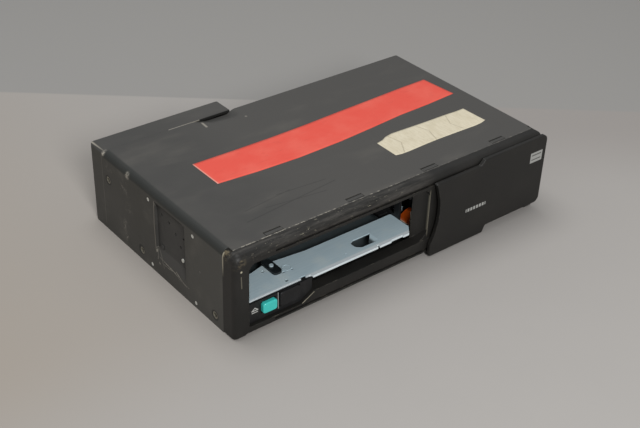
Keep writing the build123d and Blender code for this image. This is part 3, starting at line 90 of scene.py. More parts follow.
class Finish:
    def __init__(self, name, rough, metal=0.0, coat=0.0, specular=0.5):
        self.material = bpy.data.materials.new(name)
        self.material.use_nodes = True
        self.tree = self.material.node_tree
        self.shader = self.tree.nodes["Principled BSDF"]
        self.set(Roughness=rough, Metallic=metal)
        self.shader.inputs["Coat Weight"].default_value = coat
        self.shader.inputs["Specular IOR Level"].default_value = specular
        self.spot = self.node("ShaderNodeTexCoord", output="Object")
        self.x = self.axis("X") * 1000 - caseCorner[0]
        self.y = self.axis("Y") * 1000 - caseCorner[1]
        self.z = self.axis("Z") * 1000

    def node(self, kind, settings=None, inputs=None, output=0):
        made = self.tree.nodes.new(kind)
        for key, value in (settings or {}).items():
            setattr(made, key, value)
        for key, value in (inputs or {}).items():
            plug(self.tree, made.inputs[key], value)
        return Wire(self.tree, made.outputs[output])

    def set(self, **sockets):
        for name, value in sockets.items():
            plug(self.tree, self.shader.inputs[name.replace("_", " ")], value)

    def axis(self, name):
        return self.node("ShaderNodeSeparateXYZ", inputs={"Vector": self.spot}, output=name)

    def stretched(self, stretch, shift=0.0):
        offset = (shift, shift * 0.7, shift * 1.3)
        scaled = self.node("ShaderNodeVectorMath", {"operation": "MULTIPLY"}, {0: self.spot, 1: stretch})
        return self.node("ShaderNodeVectorMath", {"operation": "ADD"}, {0: scaled, 1: offset})

    def cloud(self, size, detail=3.0, rough=0.55, stretch=(1, 1, 1), shift=0.0):
        # noise whose patches are about this many millimetres across
        return self.node("ShaderNodeTexNoise", None, {
            "Vector": self.stretched(stretch, shift), "Scale": 1000 / size, "Detail": detail,
            "Roughness": rough})

    def cells(self, size, feature="F1", stretch=(1, 1, 1), shift=0.0):
        return self.node("ShaderNodeTexVoronoi", {"feature": feature}, {
            "Vector": self.stretched(stretch, shift), "Scale": 1000 / size}, "Distance")

    def ramp(self, value, low, high):
        return self.node("ShaderNodeMapRange", {"interpolation_type": "SMOOTHSTEP"}, {
            "Value": value, "From Min": low, "From Max": high, "To Min": 0.0, "To Max": 1.0})

    def within(self, value, low, high, soft):
        return self.ramp(value, low - soft, low + soft) * (1 - self.ramp(value, high - soft, high + soft))

    def blob(self, u, v, centre, radius, soft):
        du, dv = u - centre[0], v - centre[1]
        distance = (du * du + dv * dv) ** 0.5
        return 1 - self.ramp(distance, radius - soft, radius + soft)

    def stroke(self, u, v, start, end, width):
        # mask along a line drawn between two points, for a scratch or for a painted highlight or shadow line
        du, dv = end[0] - start[0], end[1] - start[1]
        along = ((u - start[0]) * du + (v - start[1]) * dv) / (du * du + dv * dv)
        along = along.maths("MAXIMUM", along.maths("MINIMUM", along, 1.0), 0.0)
        across, down = u - start[0] - along * du, v - start[1] - along * dv
        distance = (across * across + down * down) ** 0.5
        return 1 - self.ramp(distance, width * 0.4, width)

    def line(self, u, v, points, width):
        # mask along a bent line, for a scratch or for a painted highlight or shadow line
        return self.most(*[self.stroke(u, v, start, end, width) for start, end in zip(points, points[1:])])

    def box(self, soft, *spans):
        # mask inside a box, from (value, low, high) on each axis that matters
        mask = 1.0
        for value, low, high in spans:
            mask = self.within(value, low, high, soft) * mask
        return mask

    def most(self, *masks):
        top = masks[0]
        for mask in masks[1:]:
            top = top.maths("MAXIMUM", top, mask)
        return top

    def mix(self, mask, first, second):
        return self.node("ShaderNodeMix", {"data_type": "RGBA", "clamp_factor": True},
                         {0: mask, 6: first, 7: second}, 2)

    def rounded(self, radius):
        return self.node("ShaderNodeBevel", {"samples": 4}, {"Radius": radius / 1000})

    def edges(self, radius):
        # bright along sharp edges, where paint wears first
        flat = self.node("ShaderNodeNewGeometry", output="Normal")
        turned = self.node("ShaderNodeVectorMath", {"operation": "DOT_PRODUCT"},
                           {0: self.rounded(radius), 1: flat}, "Value")
        return self.ramp(1 - turned, 0.01, 0.12)

    def relief(self, height, depth, radius=0.35):
        # depth is in millimetres for a height of 1
        bump = self.node("ShaderNodeBump", None, {
            "Strength": 1.0, "Distance": depth / 1000, "Height": height,
            "Normal": self.rounded(radius)})
        self.set(Normal=bump)


# Finishes

casePaintLook = {
    "colour": paint(66, 65, 63), "side": paint(60, 59, 55), "sideFrontLit": paint(74, 73, 69),
    "paleTone": paint(80, 78, 75), "bareMetalAndHighlight": paint(168, 162, 150), "dust": paint(112, 108, 100),
    "darkMarksAndShade": paint(30, 31, 30), "bend": paint(40, 42, 40), "slot": paint(8, 8, 8),
    # on the left side, as (y, z)
    "recessTop": [(73.4, 53.2), (43.5, 53.2)], "recessFront": [(42.6, 51), (42.6, 44)],
    # recessRear and rampRear trace painted highlights on lit edges of the side recess; rampFoot traces scrapes at the
    # ramp's foot
    "recessRear": [(74.2, 54), (75, 37), (74.4, 19), (72.6, 12)],
    "rampRear": [(74, 20), (69.5, 15.6), (66.2, 11), (65.4, 8.4)],
    "rampFoot": [(66, 11.4), (60, 11.6), (54, 12.4), (47, 10.6), (37, 10)],
    "sideScratches": [[(72, 14), (52, 12.2)], [(52, 13.5), (40, 9.4)]],
    "rubbed": [((110.5, 7), 3.2, 3.0), ((112, 15), 4.0, 4.0), ((107, 32), 3.4, 3.0),
               ((112, 45), 4.5, 4.4), ((124, 50), 2.5, 2.4), ((131, 51), 2.5, 2.4)],
    "brightSpots": [((70.6, 9.7), 0.8, 0.4), ((24, 30), 0.5, 0.4)],
    "bushes": [(131, 41), (92.5, 8), (8.7, 7.5)],
    "seam": [(138.5, 58), (138.5, 4)],
    # painted highlights on small knocks in the top bend
    "edgeKnockHighlights": [((106, 56.5), 2.0, 1.2), ((137, 58), 1.4, 1.0)],
    "housingCorner": [(156, 59), (138, 59.8)],
    # on the top, as (x, y)
    "topScratches": [[(28, 14.5), (100, 21.5), 0.5], [(46, 21), (88, 15.2), 0.4],
                     [(34, 25), (70, 29), 0.4], [(60, 29), (96, 26), 0.4]],
    # painted highlights where the dent's crease and the rear edge of the slit catch the light
    "dentHighlight": [(74.4, 134), (73.2, 130), (72.8, 125)], "dentBack": [(50, 135.9), (74, 135.9)],
    "dentSpot": (103, 122),
}


def casePaint():
    look = casePaintLook
    f = Finish("casePaint", 0.5, specular=0.32)
    x, y, z = f.x, f.y, f.z
    grain = f.cloud(0.45, 2.0)
    haze = f.cloud(38, 4.0, 0.6)
    blotch = f.ramp(f.cloud(6.0, 5.0, 0.8, shift=5.0), 0.5, 0.7)
    smear = f.cloud(24, 3.0, 0.6, (0.35, 1, 1), 4.0)
    fleck = f.ramp(f.cloud(1.3, 2.0, 0.7, shift=2.0), 0.74, 0.8)
    hair = f.ramp(f.cloud(2.0, 4.0, 0.8, (0.06, 1, 1), 9.0), 0.67, 0.75)
    ragged = f.ramp(f.cloud(0.9, 4.0, 0.8, shift=3.0), 0.4, 0.56)
    patchy = f.ramp(f.cloud(3.2, 5.0, 0.75, shift=8.0), 0.46, 0.6)
    top = f.ramp(z, 59.0, 59.8)
    side = f.ramp(0.6 - x, 0.0, 0.3)
    flank = f.ramp(3.5 - x, 0.0, 0.4)  # the side and the floor of its recess
    # painted reflection: a dark band along the rounded left top bend
    bend = f.ramp(z, 55.0, 56.6) * (1 - f.ramp(x, 3.4, 5.4)) * (1 - f.ramp(y, 134.5, 137.0))
    # painted shade inside the recess in the left side
    recess = flank * (1 - side) * f.box(0.3, (y, 40, 74), (z, 20.5, 53.6))
    shadowLine = flank * f.most(f.line(y, z, look["recessTop"], 1.3), f.line(y, z, look["recessFront"], 1.0))
    # painted highlights on the lit rear edges of the recess and its ramp, and ragged scrapes along the ramp's foot
    litEdgeAndScrapeLine = flank * f.most(f.line(y, z, look["recessRear"], 0.4) * 0.6,
                               f.line(y, z, look["rampRear"], 0.4) * 0.35,
                               f.line(y, z, look["rampFoot"], 0.4) * ragged * 0.6)
    worn = f.most(*[f.line(y, z, points, 0.5) for points in look["sideScratches"]],
                  *[f.blob(y, z, *spot) * blotch for spot in look["rubbed"]],
                  *[f.blob(y, z, *spot) for spot in look["brightSpots"]])
    ringed = side * f.most(*[f.blob(y, z, centre, 3.6, 0.5) for centre in look["bushes"]])
    seam = side * f.line(y, z, look["seam"], 0.4) * 0.2
    # scrapes and rubbed paint on the side, with the painted edge highlights and the seam line
    scrapedAndLit = f.most(worn * side * ragged, litEdgeAndScrapeLine, seam)
    fine = top * f.most(*[f.stroke(x, y, *scratch) for scratch in look["topScratches"]])
    lip = f.within(y, -5.4, -3.9, 0.4) * f.ramp(z, 58.6, 59.6) * patchy * (1 - f.ramp(x, 120, 170) * 0.7)
    corner = f.line(y, z, look["housingCorner"], 1.0) * f.ramp(2.4 - x, 0.0, 1.2)
    # painted highlights on the dent's crease, the slit's edge and a spot at its end
    dentHighlight = top * f.most(f.line(x, y, look["dentHighlight"], 1.1) * 0.7, f.line(x, y, look["dentBack"], 0.5) * 0.8,
                           f.blob(x, y, look["dentSpot"], 0.8, 0.5) * 0.5)
    # painted highlights on small knocks in the top bend
    knockHighlight = f.most(*[f.blob(y, z, *spot) for spot in look["edgeKnockHighlights"]]) * f.ramp(4.0 - x, 0.0, 1.0) * ragged
    dentShade = top * f.box(3.0, (x, 78, 101), (y, 127, 137))
    # painted shadow: a black slit at the cover's rear edge where it drops below the housing
    slitShadow = f.box(0.12, (y, 135.95, 136.3), (x, 62, 98.8)) * f.ramp(z, 54, 56)
    # painted shade and light: the left side gets a darker copy of the paint than the top, and paler painted light
    # towards its front
    colour = f.mix(side, look["colour"], look["side"])
    colour = f.mix(side * (1 - f.ramp(y, 20, 60)) * 0.8, colour, look["sideFrontLit"])
    # paler in random hazy patches and over the top towards the right
    colour = f.mix(f.most(f.ramp(haze, 0.35, 0.7) * 0.35, top * f.ramp(x, 30, 90) * 0.55), colour, look["paleTone"])
    colour = f.mix(f.most(f.ramp(smear, 0.5, 0.75) * 0.2, fleck * 0.3, hair * 0.2), colour, look["dust"])
    # painted dark reflection along the left top bend
    colour = f.mix(bend * 0.85, colour, look["bend"])
    # darker top scratches and rings round the bushes, with painted shade in the side recess and the dent
    colour = f.mix(f.most(recess * 0.3, ringed * 0.8, fine * 0.4, dentShade * 0.3), colour, look["darkMarksAndShade"])
    # painted shadow, near black, along the recess's top and front edges and in the dent slit
    colour = f.mix(f.most(shadowLine, slitShadow) * 0.95, colour, look["slot"])
    # bare metal where the paint is scraped or worn, and painted highlights on lit edges, the dent and the knocks
    colour = f.mix(f.most(scrapedAndLit * 0.7, lip * 0.8, corner, dentHighlight * 0.8, knockHighlight), colour, look["bareMetalAndHighlight"])
    f.set(Base_Color=colour, Roughness=0.46 + haze * 0.14 + fleck * 0.1)
    f.relief(grain + f.cloud(1.5, 2.0) * 0.7 - f.most(scrapedAndLit, hair * 0.3) * 1.5, 0.05, 0.5)
    return f.material


bezelLook = {
    "colour": paint(27, 26, 24), "faded": paint(40, 38, 35), "polish": paint(76, 73, 69),
    "paleMarkAndHighlight": paint(190, 182, 160), "top": paint(66, 65, 63), "tan": paint(120, 108, 84),
    "print": paint(176, 176, 172),
    # along the top edge, from and to with a soft end and a strength
    "chippedRuns": [(10, 30, 6, 1.0), (42, 62, 7, 1.0), (74, 108, 8, 0.9), (30, 130, 16, 0.45)],
    # on the front, as (x, z)
    "pillarSpot": (4.6, 49.5), "pillarStreak": [(4.5, 46), (4.8, 38)],
    "pocketRamp": [(49.5, 7.0), (58.4, 11.9)], "keySpot": (46.4, 17.3),
    "badge": [(241.0, 252.4), (41.2, 49.0)],
    "badgeBars": [(46.4, 47.4), (43.0, 43.9)], "badgeBarEnds": (242.2, 251.2),
    "bars": [(182.4, 200.8), (23.9, 26.3)], "barPitch": 2.66,
}


def bezelPlastic():
    look = bezelLook
    f = Finish("bezelPlastic", 0.5, specular=0.35)
    x, y, z = f.x, f.y, f.z
    grain = f.cloud(0.35, 2.0)
    haze = f.cloud(26, 4.0, 0.6)
    dust = f.ramp(f.cloud(1.2, 3.0, 0.8, shift=1.0), 0.72, 0.82)
    streaky = f.cloud(1.3, 5.0, 0.8, (0.3, 1, 1), 6.0)
    crest = f.within(y, -12.7, -4.6, 0.8) * f.ramp(z, 52.5, 57.0) * (1 - f.ramp(x, 146, 158))
    runs = f.most(*[f.within(x, low, high, soft) * strength for low, high, soft, strength in look["chippedRuns"]])
    chips = crest * f.ramp(streaky, 0.6, 0.68) * runs
    polish = crest * f.ramp(f.cloud(5.0, 5.0, 0.7, (0.12, 1, 1), 3.0), 0.42, 0.7)
    edge = f.edges(0.5) * f.ramp(f.cloud(4.5, 5.0, 0.75, shift=2.0), 0.5, 0.66)
    pillar = f.most(f.blob(x, z, look["pillarSpot"], 0.6, 0.4), f.line(x, z, look["pillarStreak"], 0.5) * 0.2)
    leftSeam = f.ramp(1.6 - x, 0.0, 0.8) * f.ramp(y, -1.4, -0.6) * f.ramp(z, 40, 52) * 0.7
    tan = f.ramp(9.0 - x, 0.0, 4.0) * f.ramp(f.cloud(6.0, 5.0, 0.75, shift=11.0), 0.5, 0.64) * f.ramp(z, 50, 55)
    # painted highlight along the edge of the mouth's right jamb
    jambHighlight = f.within(x, 151.8, 152.4, 0.2) * f.ramp(-y, 9.5, 11.5) * f.box(2.0, (z, 16, 50))
    tongue = f.ramp(z, 59.4, 59.8) * f.ramp(y, -3.6, -3.2)
    front = f.ramp(-y, 15.4, 15.8)
    badge = front * f.box(0.15, (x, *look["badge"][0]), (z, *look["badge"][1]))
    badgeBars = f.most(*[f.box(0.12, (z, *bar)) for bar in look["badgeBars"]])
    badgeBars = badgeBars * f.box(0.1, (x, *look["badgeBarEnds"]))
    bars = front * f.box(0.12, (x, *look["bars"][0]), (z, *look["bars"][1]))
    bars = bars * f.within(x.maths("FRACT", x / look["barPitch"]), 0.18, 0.86, 0.05)
    glints = f.most(f.line(x, z, look["pocketRamp"], 0.35), f.blob(x, z, look["keySpot"], 0.6, 0.4))
    glints = glints * f.ramp(-y, 12.0, 12.4)
    colour = f.mix(f.ramp(haze, 0.35, 0.7) * 0.5, look["colour"], look["faded"])
    colour = f.mix(polish * 0.75, colour, look["polish"])
    colour = f.mix(tan * 0.6, colour, look["tan"])
    colour = f.mix(dust * 0.25, colour, look["paleMarkAndHighlight"])
    colour = f.mix(tongue, colour, look["top"])
    # edge wear, chips and pale marks, together with painted highlights on the mouth's right jamb, the pocket ramp and
    # the key
    worn = f.most(edge * 0.25, chips * 0.9, pillar, leftSeam, jambHighlight * 0.25, glints * 0.5)
    colour = f.mix(worn, colour, look["paleMarkAndHighlight"])
    colour = f.mix(badge * 0.8, colour, look["print"])
    colour = f.mix(badge * badgeBars * 0.7, colour, look["faded"])
    colour = f.mix(bars * 0.85, colour, look["print"])
    f.set(Base_Color=colour, Roughness=0.4 + haze * 0.2 + dust * 0.15)
    f.relief(grain - chips * 4.0, 0.04, 0.6)
    return f.material


def blackPlastic():
    look = {"colour": paint(24, 24, 25), "dust": paint(62, 61, 58), "print": paint(206, 206, 202),
            "triangle": [(13.4, 15.6), (15.6, 17.4), (17.8, 15.6), (13.4, 15.6)],  # beside the key, as (x, z)
            "bar": [(13.6, 14.2), (17.6, 14.2)], "rimHighlight": [(32.6, 21.2), (33.0, 9.4)]}
    f = Finish("blackPlastic", 0.48, specular=0.35)
    x, y, z = f.x, f.y, f.z
    haze = f.cloud(9.0, 4.0, 0.65)
    lint = f.ramp(f.cloud(0.8, 3.0, 0.8, shift=3.0), 0.7, 0.8)
    frontOnly = f.ramp(-y, 9.6, 10.0) * f.ramp(30.0 - z, 0.0, 4.0)
    symbol = f.most(f.line(x, z, look["triangle"], 0.42), f.line(x, z, look["bar"], 0.42))
    # painted highlight on the lit left rim of the dished key
    rimHighlight = f.line(x, z, look["rimHighlight"], 0.35)
    colour = f.mix(f.most(f.ramp(haze, 0.5, 0.8) * 0.25, lint * 0.25), look["colour"], look["dust"])
    # print marks beside the key, with the painted rim highlight in the same pale colour
    f.set(Base_Color=f.mix(frontOnly * f.most(symbol * 0.8, rimHighlight * 0.5), colour, look["print"]),
          Roughness=0.4 + haze * 0.2)
    f.relief(f.cloud(0.4, 2.0), 0.025, 0.3)
    return f.material


def zincSteel():
    look = {"colour": paint(198, 218, 226), "shade": paint(182, 204, 214), "bloom": paint(214, 224, 222),
            "stain": paint(140, 146, 142), "bright": paint(236, 242, 244), "inside": paint(28, 32, 31)}
    f = Finish("zincSteel", 0.4, metal=0.1, specular=0.5)
    rolled = f.cloud(1.1, 5.0, 0.75, (0.06, 1, 1))
    bloom = f.cloud(16, 4.0, 0.6, shift=2.0)
    spots = f.ramp(f.cloud(1.3, 4.0, 0.8, shift=6.0), 0.7, 0.78)
    # painted highlight on the plate's bent front lip
    frontLipHighlight = f.ramp(-6.4 - f.y, 0.0, 1.4) * f.ramp(f.z, 19, 21)
    colour = f.mix(f.ramp(rolled, 0.3, 0.75) * 0.6, look["colour"], look["shade"])
    colour = f.mix(f.ramp(bloom, 0.45, 0.7) * 0.4, colour, look["bloom"])
    colour = f.mix(f.most(spots * 0.35, f.edges(0.3) * 0.15), colour, look["stain"])
    # painted highlight on the front lip
    colour = f.mix(frontLipHighlight * 0.7, colour, look["bright"])
    # painted shade: dark steel deeper in the mouth behind the plate, and below the plate's top behind its lip
    inside = f.most(f.ramp(f.y, 19.5, 21.0), f.ramp(-f.z, -21.4, -20.6) * f.ramp(f.y, -6.0, -5.2))
    f.set(Base_Color=f.mix(inside * 0.9, colour, look["inside"]), Roughness=0.34 + rolled * 0.14 + bloom * 0.1,
          Metallic=0.2 - bloom * 0.15)
    f.relief(rolled + bloom, 0.02, 0.2)
    return f.material


def bareSteel(name, red, green, blue, rough, metal=0.95):
    f = Finish(name, rough, metal=metal)
    turned = f.cloud(0.7, 4.0, 0.7, (1, 1, 0.2))
    colour = f.mix(f.ramp(turned, 0.3, 0.8) * 0.6, paint(red, green, blue),
                   paint(red * 0.68, green * 0.68, blue * 0.68))
    f.set(Base_Color=colour, Roughness=rough - 0.08 + turned * 0.2)
    f.relief(turned, 0.01, 0.2)
    return f.material


def blackSteel():
    f = Finish("blackSteel", 0.42, metal=0.3)
    wear = f.edges(0.5) * f.ramp(f.cloud(2.0, 4.0, 0.7), 0.45, 0.65)
    colour = f.mix(f.ramp(f.cloud(3.0, 4.0), 0.4, 0.8) * 0.5, paint(30, 36, 38), paint(58, 66, 68))
    f.set(Base_Color=f.mix(wear * 0.6, colour, paint(130, 132, 132)), Roughness=0.36 + f.cloud(5.0) * 0.2)
    f.relief(f.cloud(0.5), 0.02, 0.3)
    return f.material


def mouldedPlastic(name, colour, shade, rough, coat=0.0):
    f = Finish(name, rough, coat=coat)
    haze = f.cloud(5.0, 4.0, 0.6)
    grime = f.ramp(f.cloud(1.4, 4.0, 0.75, shift=4.0), 0.6, 0.78)
    f.set(Base_Color=f.mix(f.most(f.ramp(haze, 0.4, 0.8) * 0.5, grime * 0.5), colour, shade),
          Roughness=rough - 0.06 + haze * 0.14)
    f.relief(f.cloud(0.5), 0.015, 0.3)
    return f.material


def redFilm():
    look = {"colour": paint(224, 84, 70), "faded": paint(230, 110, 94), "rub": paint(190, 72, 62),
            "dirt": paint(128, 70, 62), "pale": paint(238, 176, 160)}
    f = Finish("redFilm", 0.55, specular=0.3)
    fade = f.cloud(30, 4.0, 0.6)
    rub = f.ramp(f.cloud(4.5, 5.0, 0.75, (0.3, 1, 1), 2.0), 0.56, 0.74)
    specks = f.ramp(f.cloud(0.9, 4.0, 0.8, shift=5.0), 0.68, 0.76)
    streak = f.ramp(f.cloud(1.4, 4.0, 0.8, (0.05, 1, 1), 8.0), 0.62, 0.74)
    rim = f.most(f.ramp(39.2 - f.x, 0.0, 0.8), f.ramp(59.9 - f.y, 0.0, 0.8) * (1 - f.ramp(f.x, 40, 52)))
    colour = f.mix(f.ramp(fade, 0.38, 0.68) * 0.5, look["colour"], look["faded"])
    colour = f.mix(rub * 0.28, colour, look["rub"])
    colour = f.mix(f.most(specks * 0.3, streak * 0.35), colour, look["dirt"])
    f.set(Base_Color=f.mix(rim * 0.7, colour, look["pale"]), Roughness=0.46 + fade * 0.2)
    f.relief(f.cloud(7.0, 3.0) + f.cloud(1.2, 3.0) * 0.2, 0.12, 0.05)
    return f.material


def creamTape():
    look = {"colour": paint(216, 207, 184), "shade": paint(192, 181, 154), "dirt": paint(150, 138, 112),
            "creases": [([(159, 22), (166, 33), (164, 44)], 0.5), ([(188, 22), (192, 34), (189, 44)], 0.4),
                        ([(214, 22), (211, 33), (216, 43)], 0.4)]}
    f = Finish("creamTape", 0.72, specular=0.25)
    crepe = f.cloud(1.5, 4.0, 0.65, (1.6, 0.22, 1))
    broad = f.cloud(9.0, 4.0, 0.6, (1, 0.5, 1), 3.0)
    rim = f.ramp(f.cloud(2.6, 5.0, 0.7, shift=6.0), 0.58, 0.72)
    creases = f.most(*[f.line(f.x, f.y, points, width) for points, width in look["creases"]])
    colour = f.mix(f.ramp(crepe, 0.35, 0.7) * 0.5, look["colour"], look["shade"])
    colour = f.mix(f.ramp(broad, 0.45, 0.72) * 0.4, colour, look["shade"])
    # darker in patches round the rim and along the creases
    f.set(Base_Color=f.mix(f.most(rim * 0.3, creases * 0.35), colour, look["dirt"]), Roughness=0.66 + broad * 0.14)
    f.relief(crepe * 0.8 + broad * 1.4 - creases * 0.6, 0.3, 0.05)
    return f.material


def circuitBoard():
    f = Finish("circuitBoard", 0.4, coat=0.2)
    tracks = f.cells(2.2, "DISTANCE_TO_EDGE", (1, 0.35, 1))
    lines = 1 - f.ramp(tracks, 0.05, 0.12)
    pads = 1 - f.ramp(f.cells(3.1, shift=3.0), 0.18, 0.24)
    colour = f.mix(lines * 0.55, paint(30, 78, 44), paint(52, 110, 62))
    f.set(Base_Color=f.mix(pads * 0.7, colour, paint(176, 178, 170)), Metallic=pads * 0.6,
          Roughness=0.42 - pads * 0.1)
    f.relief(lines + pads, 0.05, 0.2)
    return f.material


def rubber(name, colour, shade):
    f = Finish(name, 0.75, specular=0.3)
    bloom = f.cloud(6.0, 4.0, 0.65)
    f.set(Base_Color=f.mix(f.ramp(bloom, 0.4, 0.75) * 0.7, colour, shade), Roughness=0.68 + bloom * 0.16)
    f.relief(f.cloud(0.6), 0.03, 0.3)
    return f.material


def coatedGlass():
    f = Finish("coatedGlass", 0.08, coat=0.6)
    tint = f.ramp(f.cloud(3.0), 0.3, 0.7)
    f.set(Base_Color=f.mix(tint, paint(58, 66, 120), paint(96, 74, 132)), Roughness=0.06 + tint * 0.05)
    return f.material


finishes = {
    "case_paint": casePaint(),
    "bezel_plastic": bezelPlastic(),
    "black_plastic": blackPlastic(),
    "teal_plastic": mouldedPlastic("tealPlastic", paint(62, 196, 188), paint(44, 164, 156), 0.4, 0.1),
    "white_plastic": mouldedPlastic("whitePlastic", paint(226, 223, 214), paint(196, 190, 174), 0.42),
    "zinc_steel": zincSteel(),
    "black_steel": blackSteel(),
    "ground_steel": bareSteel("groundSteel", 198, 200, 202, 0.24),
    "screw_steel": bareSteel("screwSteel", 226, 226, 218, 0.4, 0.3),
    "spring_steel": bareSteel("springSteel", 150, 152, 154, 0.32),
    "motor_can": bareSteel("motorCan", 188, 186, 178, 0.3),
    "brass_bush": bareSteel("brassBush", 148, 144, 130, 0.36, 0.6),
    "brass_gear": bareSteel("brassGear", 206, 172, 96, 0.3),
    "label_red": redFilm(),
    "label_paper": creamTape(),
    "rubber_grey": rubber("softRubber", paint(38, 38, 40), paint(62, 61, 60)),
    "board_green": circuitBoard(),
    "chip_black": mouldedPlastic("chipBlack", paint(32, 32, 34), paint(52, 52, 54), 0.5),
    "capacitor_can": bareSteel("capacitorCan", 178, 182, 190, 0.3),
    "flex_orange": mouldedPlastic("flexOrange", paint(228, 98, 22), paint(186, 66, 14), 0.36, 0.3),
    "connector_cream": mouldedPlastic("connectorCream", paint(222, 212, 186), paint(184, 172, 144), 0.5),
    "lens_glass": coatedGlass(),
}
for row in frame["record"]["subparts"]:
    node = frame["nodes"][row["node"]]
    node.data.materials.clear()
    node.data.materials.append(finishes[row["material_slot"]])
print("finishes made")


# Pieces

def shape(name, mesh, slotName, body, smooth=True):
    data = bpy.data.meshes.new(name)
    mesh.to_mesh(data)
    mesh.free()
    data.materials.append(finishes[slotName])
    for face in data.polygons:
        face.use_smooth = smooth
    made = bpy.data.objects.new(name, data)
    bpy.context.scene.collection.objects.link(made)
    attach(made, body)
    return made


def sheetBetween(sheet):
    # a thin sheet on the case's top between two edge lines, each a list of (x, y)
    columns, rows, ripple = sheet["columns"], sheet["rows"], sheet["ripple"]

    def along(line, t):
        total = t * (len(line) - 1)
        index = min(int(total), len(line) - 2)
        part = total - index
        first, second = line[index], line[index + 1]
        return (first[0] + (second[0] - first[0]) * part, first[1] + (second[1] - first[1]) * part)
    mesh = bmesh.new()
    grid = []
    for i in range(columns + 1):
        low, high = along(sheet["front"], i / columns), along(sheet["rear"], i / columns)
        line = []
        for j in range(rows + 1):
            t = j / rows
            x, y = low[0] + (high[0] - low[0]) * t, low[1] + (high[1] - low[1]) * t
            lift = 0.5 + 0.5 * noise.noise(Vector((x / 9, y / 4, 1.0)))
            line.append(mesh.verts.new(place(x, y, caseTop + sheet["thick"] * (1 - ripple + ripple * lift))))
        grid.append(line)
    for i in range(columns):
        for j in range(rows):
            mesh.faces.new((grid[i][j], grid[i + 1][j], grid[i + 1][j + 1], grid[i][j + 1]))
    rim = [e for e in mesh.edges if e.is_boundary]
    skirt = bmesh.ops.extrude_edge_only(mesh, edges=rim)["geom"]
    for v in skirt:
        if isinstance(v, bmesh.types.BMVert):
            v.co.z = place(0, 0, caseTop).z
    mesh.normal_update()
    return mesh


caseTop = 60.0

redLabel = {"front": [(38, 60.3), (68, 57.7), (99, 56.4), (134, 57.3), (165, 59.6), (191, 61.9),
                      (218, 62.6), (244.2, 64.3)],
            "rear": [(38, 89.0), (74, 88.3), (100, 88.2), (130, 88.9), (161, 90.4), (190, 91.5),
                     (218, 92.7), (241.8, 93.0)],
            "columns": 90, "rows": 16, "thick": 0.13, "ripple": 0.35}
red = shape("redLabelSheet", sheetBetween(redLabel), "label_red", "case")
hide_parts("red_label")

tape = {"front": [(151.6, 22.4), (156, 21.4), (163, 21.2), (176, 21.7), (190, 21.9), (206, 21.5),
                  (223, 20.9), (229, 21.3), (234.2, 22.6)],
        "rear": [(152, 41.4), (158, 42.6), (162, 44.6), (168, 45.8), (182, 45.2), (200, 44.5),
                 (216, 44.2), (226, 43.6), (233.6, 43.6)],
        "columns": 60, "rows": 18, "thick": 0.14, "ripple": 0.6}
cream = shape("creamTapeSheet", sheetBetween(tape), "label_paper", "case")
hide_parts("paper_label")
print("labels laid")


# The cover's rear edge is pressed down beside the housing, and the rear panel with it

dent = {"left": 66.0, "deepFrom": 82.0, "deepTo": 95.0, "right": 103.0, "rear": 136.5,
        "depth": 2.6, "reach": 13.0, "foot": 54, "full": 58,
        "cutSpacing": 1.5, "cutsAcross": 26, "cutsBack": 10, "firstCutBack": 121}


def eased(value, low, high):
    t = min(max((value - low) / (high - low), 0.0), 1.0)
    return t * t * (3 - 2 * t)


def dentDepth(x, y):
    across = eased(x, dent["left"], dent["deepFrom"]) * (1 - eased(x, dent["deepTo"], dent["right"]))
    reach = dent["reach"] * (0.45 + 0.55 * eased(x, dent["left"], dent["deepTo"]))
    return dent["depth"] * across * eased(y, dent["rear"] - reach, dent["rear"])


def pressed(nodeName, name, slotName):
    mesh = bmesh.new()
    mesh.from_mesh(frame["nodes"][nodeName].data)
    mesh.transform(frame["nodes"][nodeName].matrix_world)
    low, high = place(dent["left"] - 2, 118, dent["foot"]), place(dent["right"] + 2, 137, 61)
    cuts = [((1, 0, 0), place(dent["left"] + dent["cutSpacing"] * n, 0, 0)) for n in range(dent["cutsAcross"])]
    cuts += [((0, 1, 0), place(0, dent["firstCutBack"] + dent["cutSpacing"] * n, 0)) for n in range(dent["cutsBack"])]
    for normal, point in cuts:
        near = [face for face in mesh.faces if all(
            max(v.co[k] for v in face.verts) > low[k] and min(v.co[k] for v in face.verts) < high[k]
            for k in range(3))]
        parts = set(near)
        for face in near:
            parts.update(face.edges, face.verts)
        bmesh.ops.bisect_plane(mesh, geom=list(parts), plane_co=point, plane_no=normal)
    for v in mesh.verts:
        x, y, z = (v.co[k] * 1000 - caseCorner[k] for k in range(3))
        if z > dent["foot"]:
            v.co.z -= dentDepth(x, y) * eased(z, dent["foot"], dent["full"]) / 1000
    made = shape(name, mesh, slotName, "case", False)
    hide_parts(nodeName)


pressed("wrap_cover", "dentedCover", "case_paint")
pressed("rear_panel", "dentedRearPanel", "case_paint")
print("dent pressed")


# Camera and room

def photoCamera():
    view = {"yaw": 39.549, "pitch": 33.171, "roll": 2.069, "at": (-292.48, -440.27, 430.29),
            "focal": 1134.5, "width": 640}  # both in the photograph's pixels
    yaw, pitch, roll = (math.radians(view[key]) for key in ("yaw", "pitch", "roll"))
    ahead = Vector((math.sin(yaw) * math.cos(pitch), math.cos(yaw) * math.cos(pitch), -math.sin(pitch)))
    right = Vector((math.cos(yaw), -math.sin(yaw), 0))
    up = right.cross(ahead)
    side = right * math.cos(roll) + up * math.sin(roll)
    over = up * math.cos(roll) - right * math.sin(roll)
    data = bpy.data.cameras.new("photoCamera")
    data.lens = data.sensor_width * view["focal"] / view["width"]
    camera = bpy.data.objects.new("photoCamera", data)
    turn = Matrix((side, over, -ahead)).transposed().to_4x4()
    camera.matrix_world = Matrix.Translation(place(*view["at"])) @ turn
    bpy.context.scene.collection.objects.link(camera)
    bpy.context.scene.camera = camera


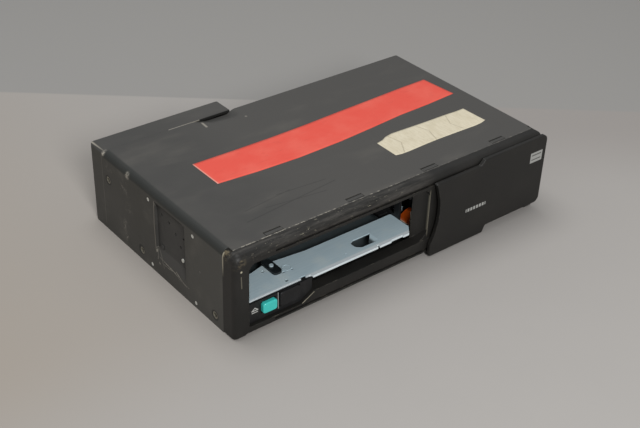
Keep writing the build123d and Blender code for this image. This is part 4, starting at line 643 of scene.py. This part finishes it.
def room():
    look = {"floor": paint(166, 162, 158), "wall": paint(152, 150, 147), "warm": paint(158, 148, 136),
            "near": paint(178, 175, 171), "far": paint(156, 151, 147), "reach": 3,
            "wallFoot": (0.6285, 0.7777, 299.0)}  # the line's direction across, and its distance in millimetres
    mesh = bmesh.new()
    corners = [(-1, -1), (1, -1), (1, 1), (-1, 1)]
    mesh.faces.new([mesh.verts.new(Vector((x, y, 0)) * look["reach"]) for x, y in corners])
    data = bpy.data.meshes.new("floor")
    mesh.to_mesh(data)
    mesh.free()
    f = Finish("floorCloth", 0.85, specular=0.1)
    # the paler floor ends along a line behind the object, as at the foot of a wall
    acrossX, acrossY, distance = look["wallFoot"]
    behind = f.x * acrossX + f.y * acrossY - distance
    # painted light: the floor is paler towards the front
    nearerLit = 1 - f.ramp(f.y, -420, 40)
    leftward = (1 - f.ramp(f.x, -220, 160)) * f.ramp(f.y, -80, 60)
    colour = f.mix(nearerLit * 0.8, look["floor"], look["near"])
    colour = f.mix(leftward * 0.8, colour, look["warm"])
    # painted shade: the floor is darker behind the object to the right, near the wall line
    colour = f.mix(f.ramp(behind, -130, -20) * f.ramp(f.x, 150, 300), colour, look["far"])
    colour = f.mix(f.ramp(behind, -1.5, 1.5), colour, look["wall"])
    f.set(Base_Color=f.mix(f.ramp(f.cloud(60, 3.0), 0.3, 0.7) * 0.05, colour, look["wall"]))
    data.materials.append(f.material)
    made = bpy.data.objects.new("floor", data)
    bpy.context.scene.collection.objects.link(made)


def lamp(name, at, target, size, watts):
    data = bpy.data.lights.new(name, "AREA")
    data.shape, data.size, data.energy = "DISK", size, watts
    made = bpy.data.objects.new(name, data)
    made.location = at
    made.rotation_mode = "QUATERNION"
    made.rotation_quaternion = (Vector(target) - Vector(at)).to_track_quat("-Z", "Y")
    bpy.context.scene.collection.objects.link(made)


def studio():
    look = {"sky": (0.86, 0.88, 0.9, 1), "skyStrength": 0.38}
    world = bpy.data.worlds.new("studio")
    bpy.context.scene.world = world
    world.use_nodes = True
    world.node_tree.nodes["Background"].inputs["Color"].default_value = look["sky"]
    world.node_tree.nodes["Background"].inputs["Strength"].default_value = look["skyStrength"]
    lamp("overhead", (-0.1, 0.3, 1.5), (0, 0, 0), 1.0, 10)
    lamp("frontFill", (-0.55, -1.35, 0.95), (0, 0, 0.03), 0.5, 18)
    bpy.context.scene.view_settings.view_transform = "Standard"


photoCamera()
room()
studio()
print("camera and lights set")
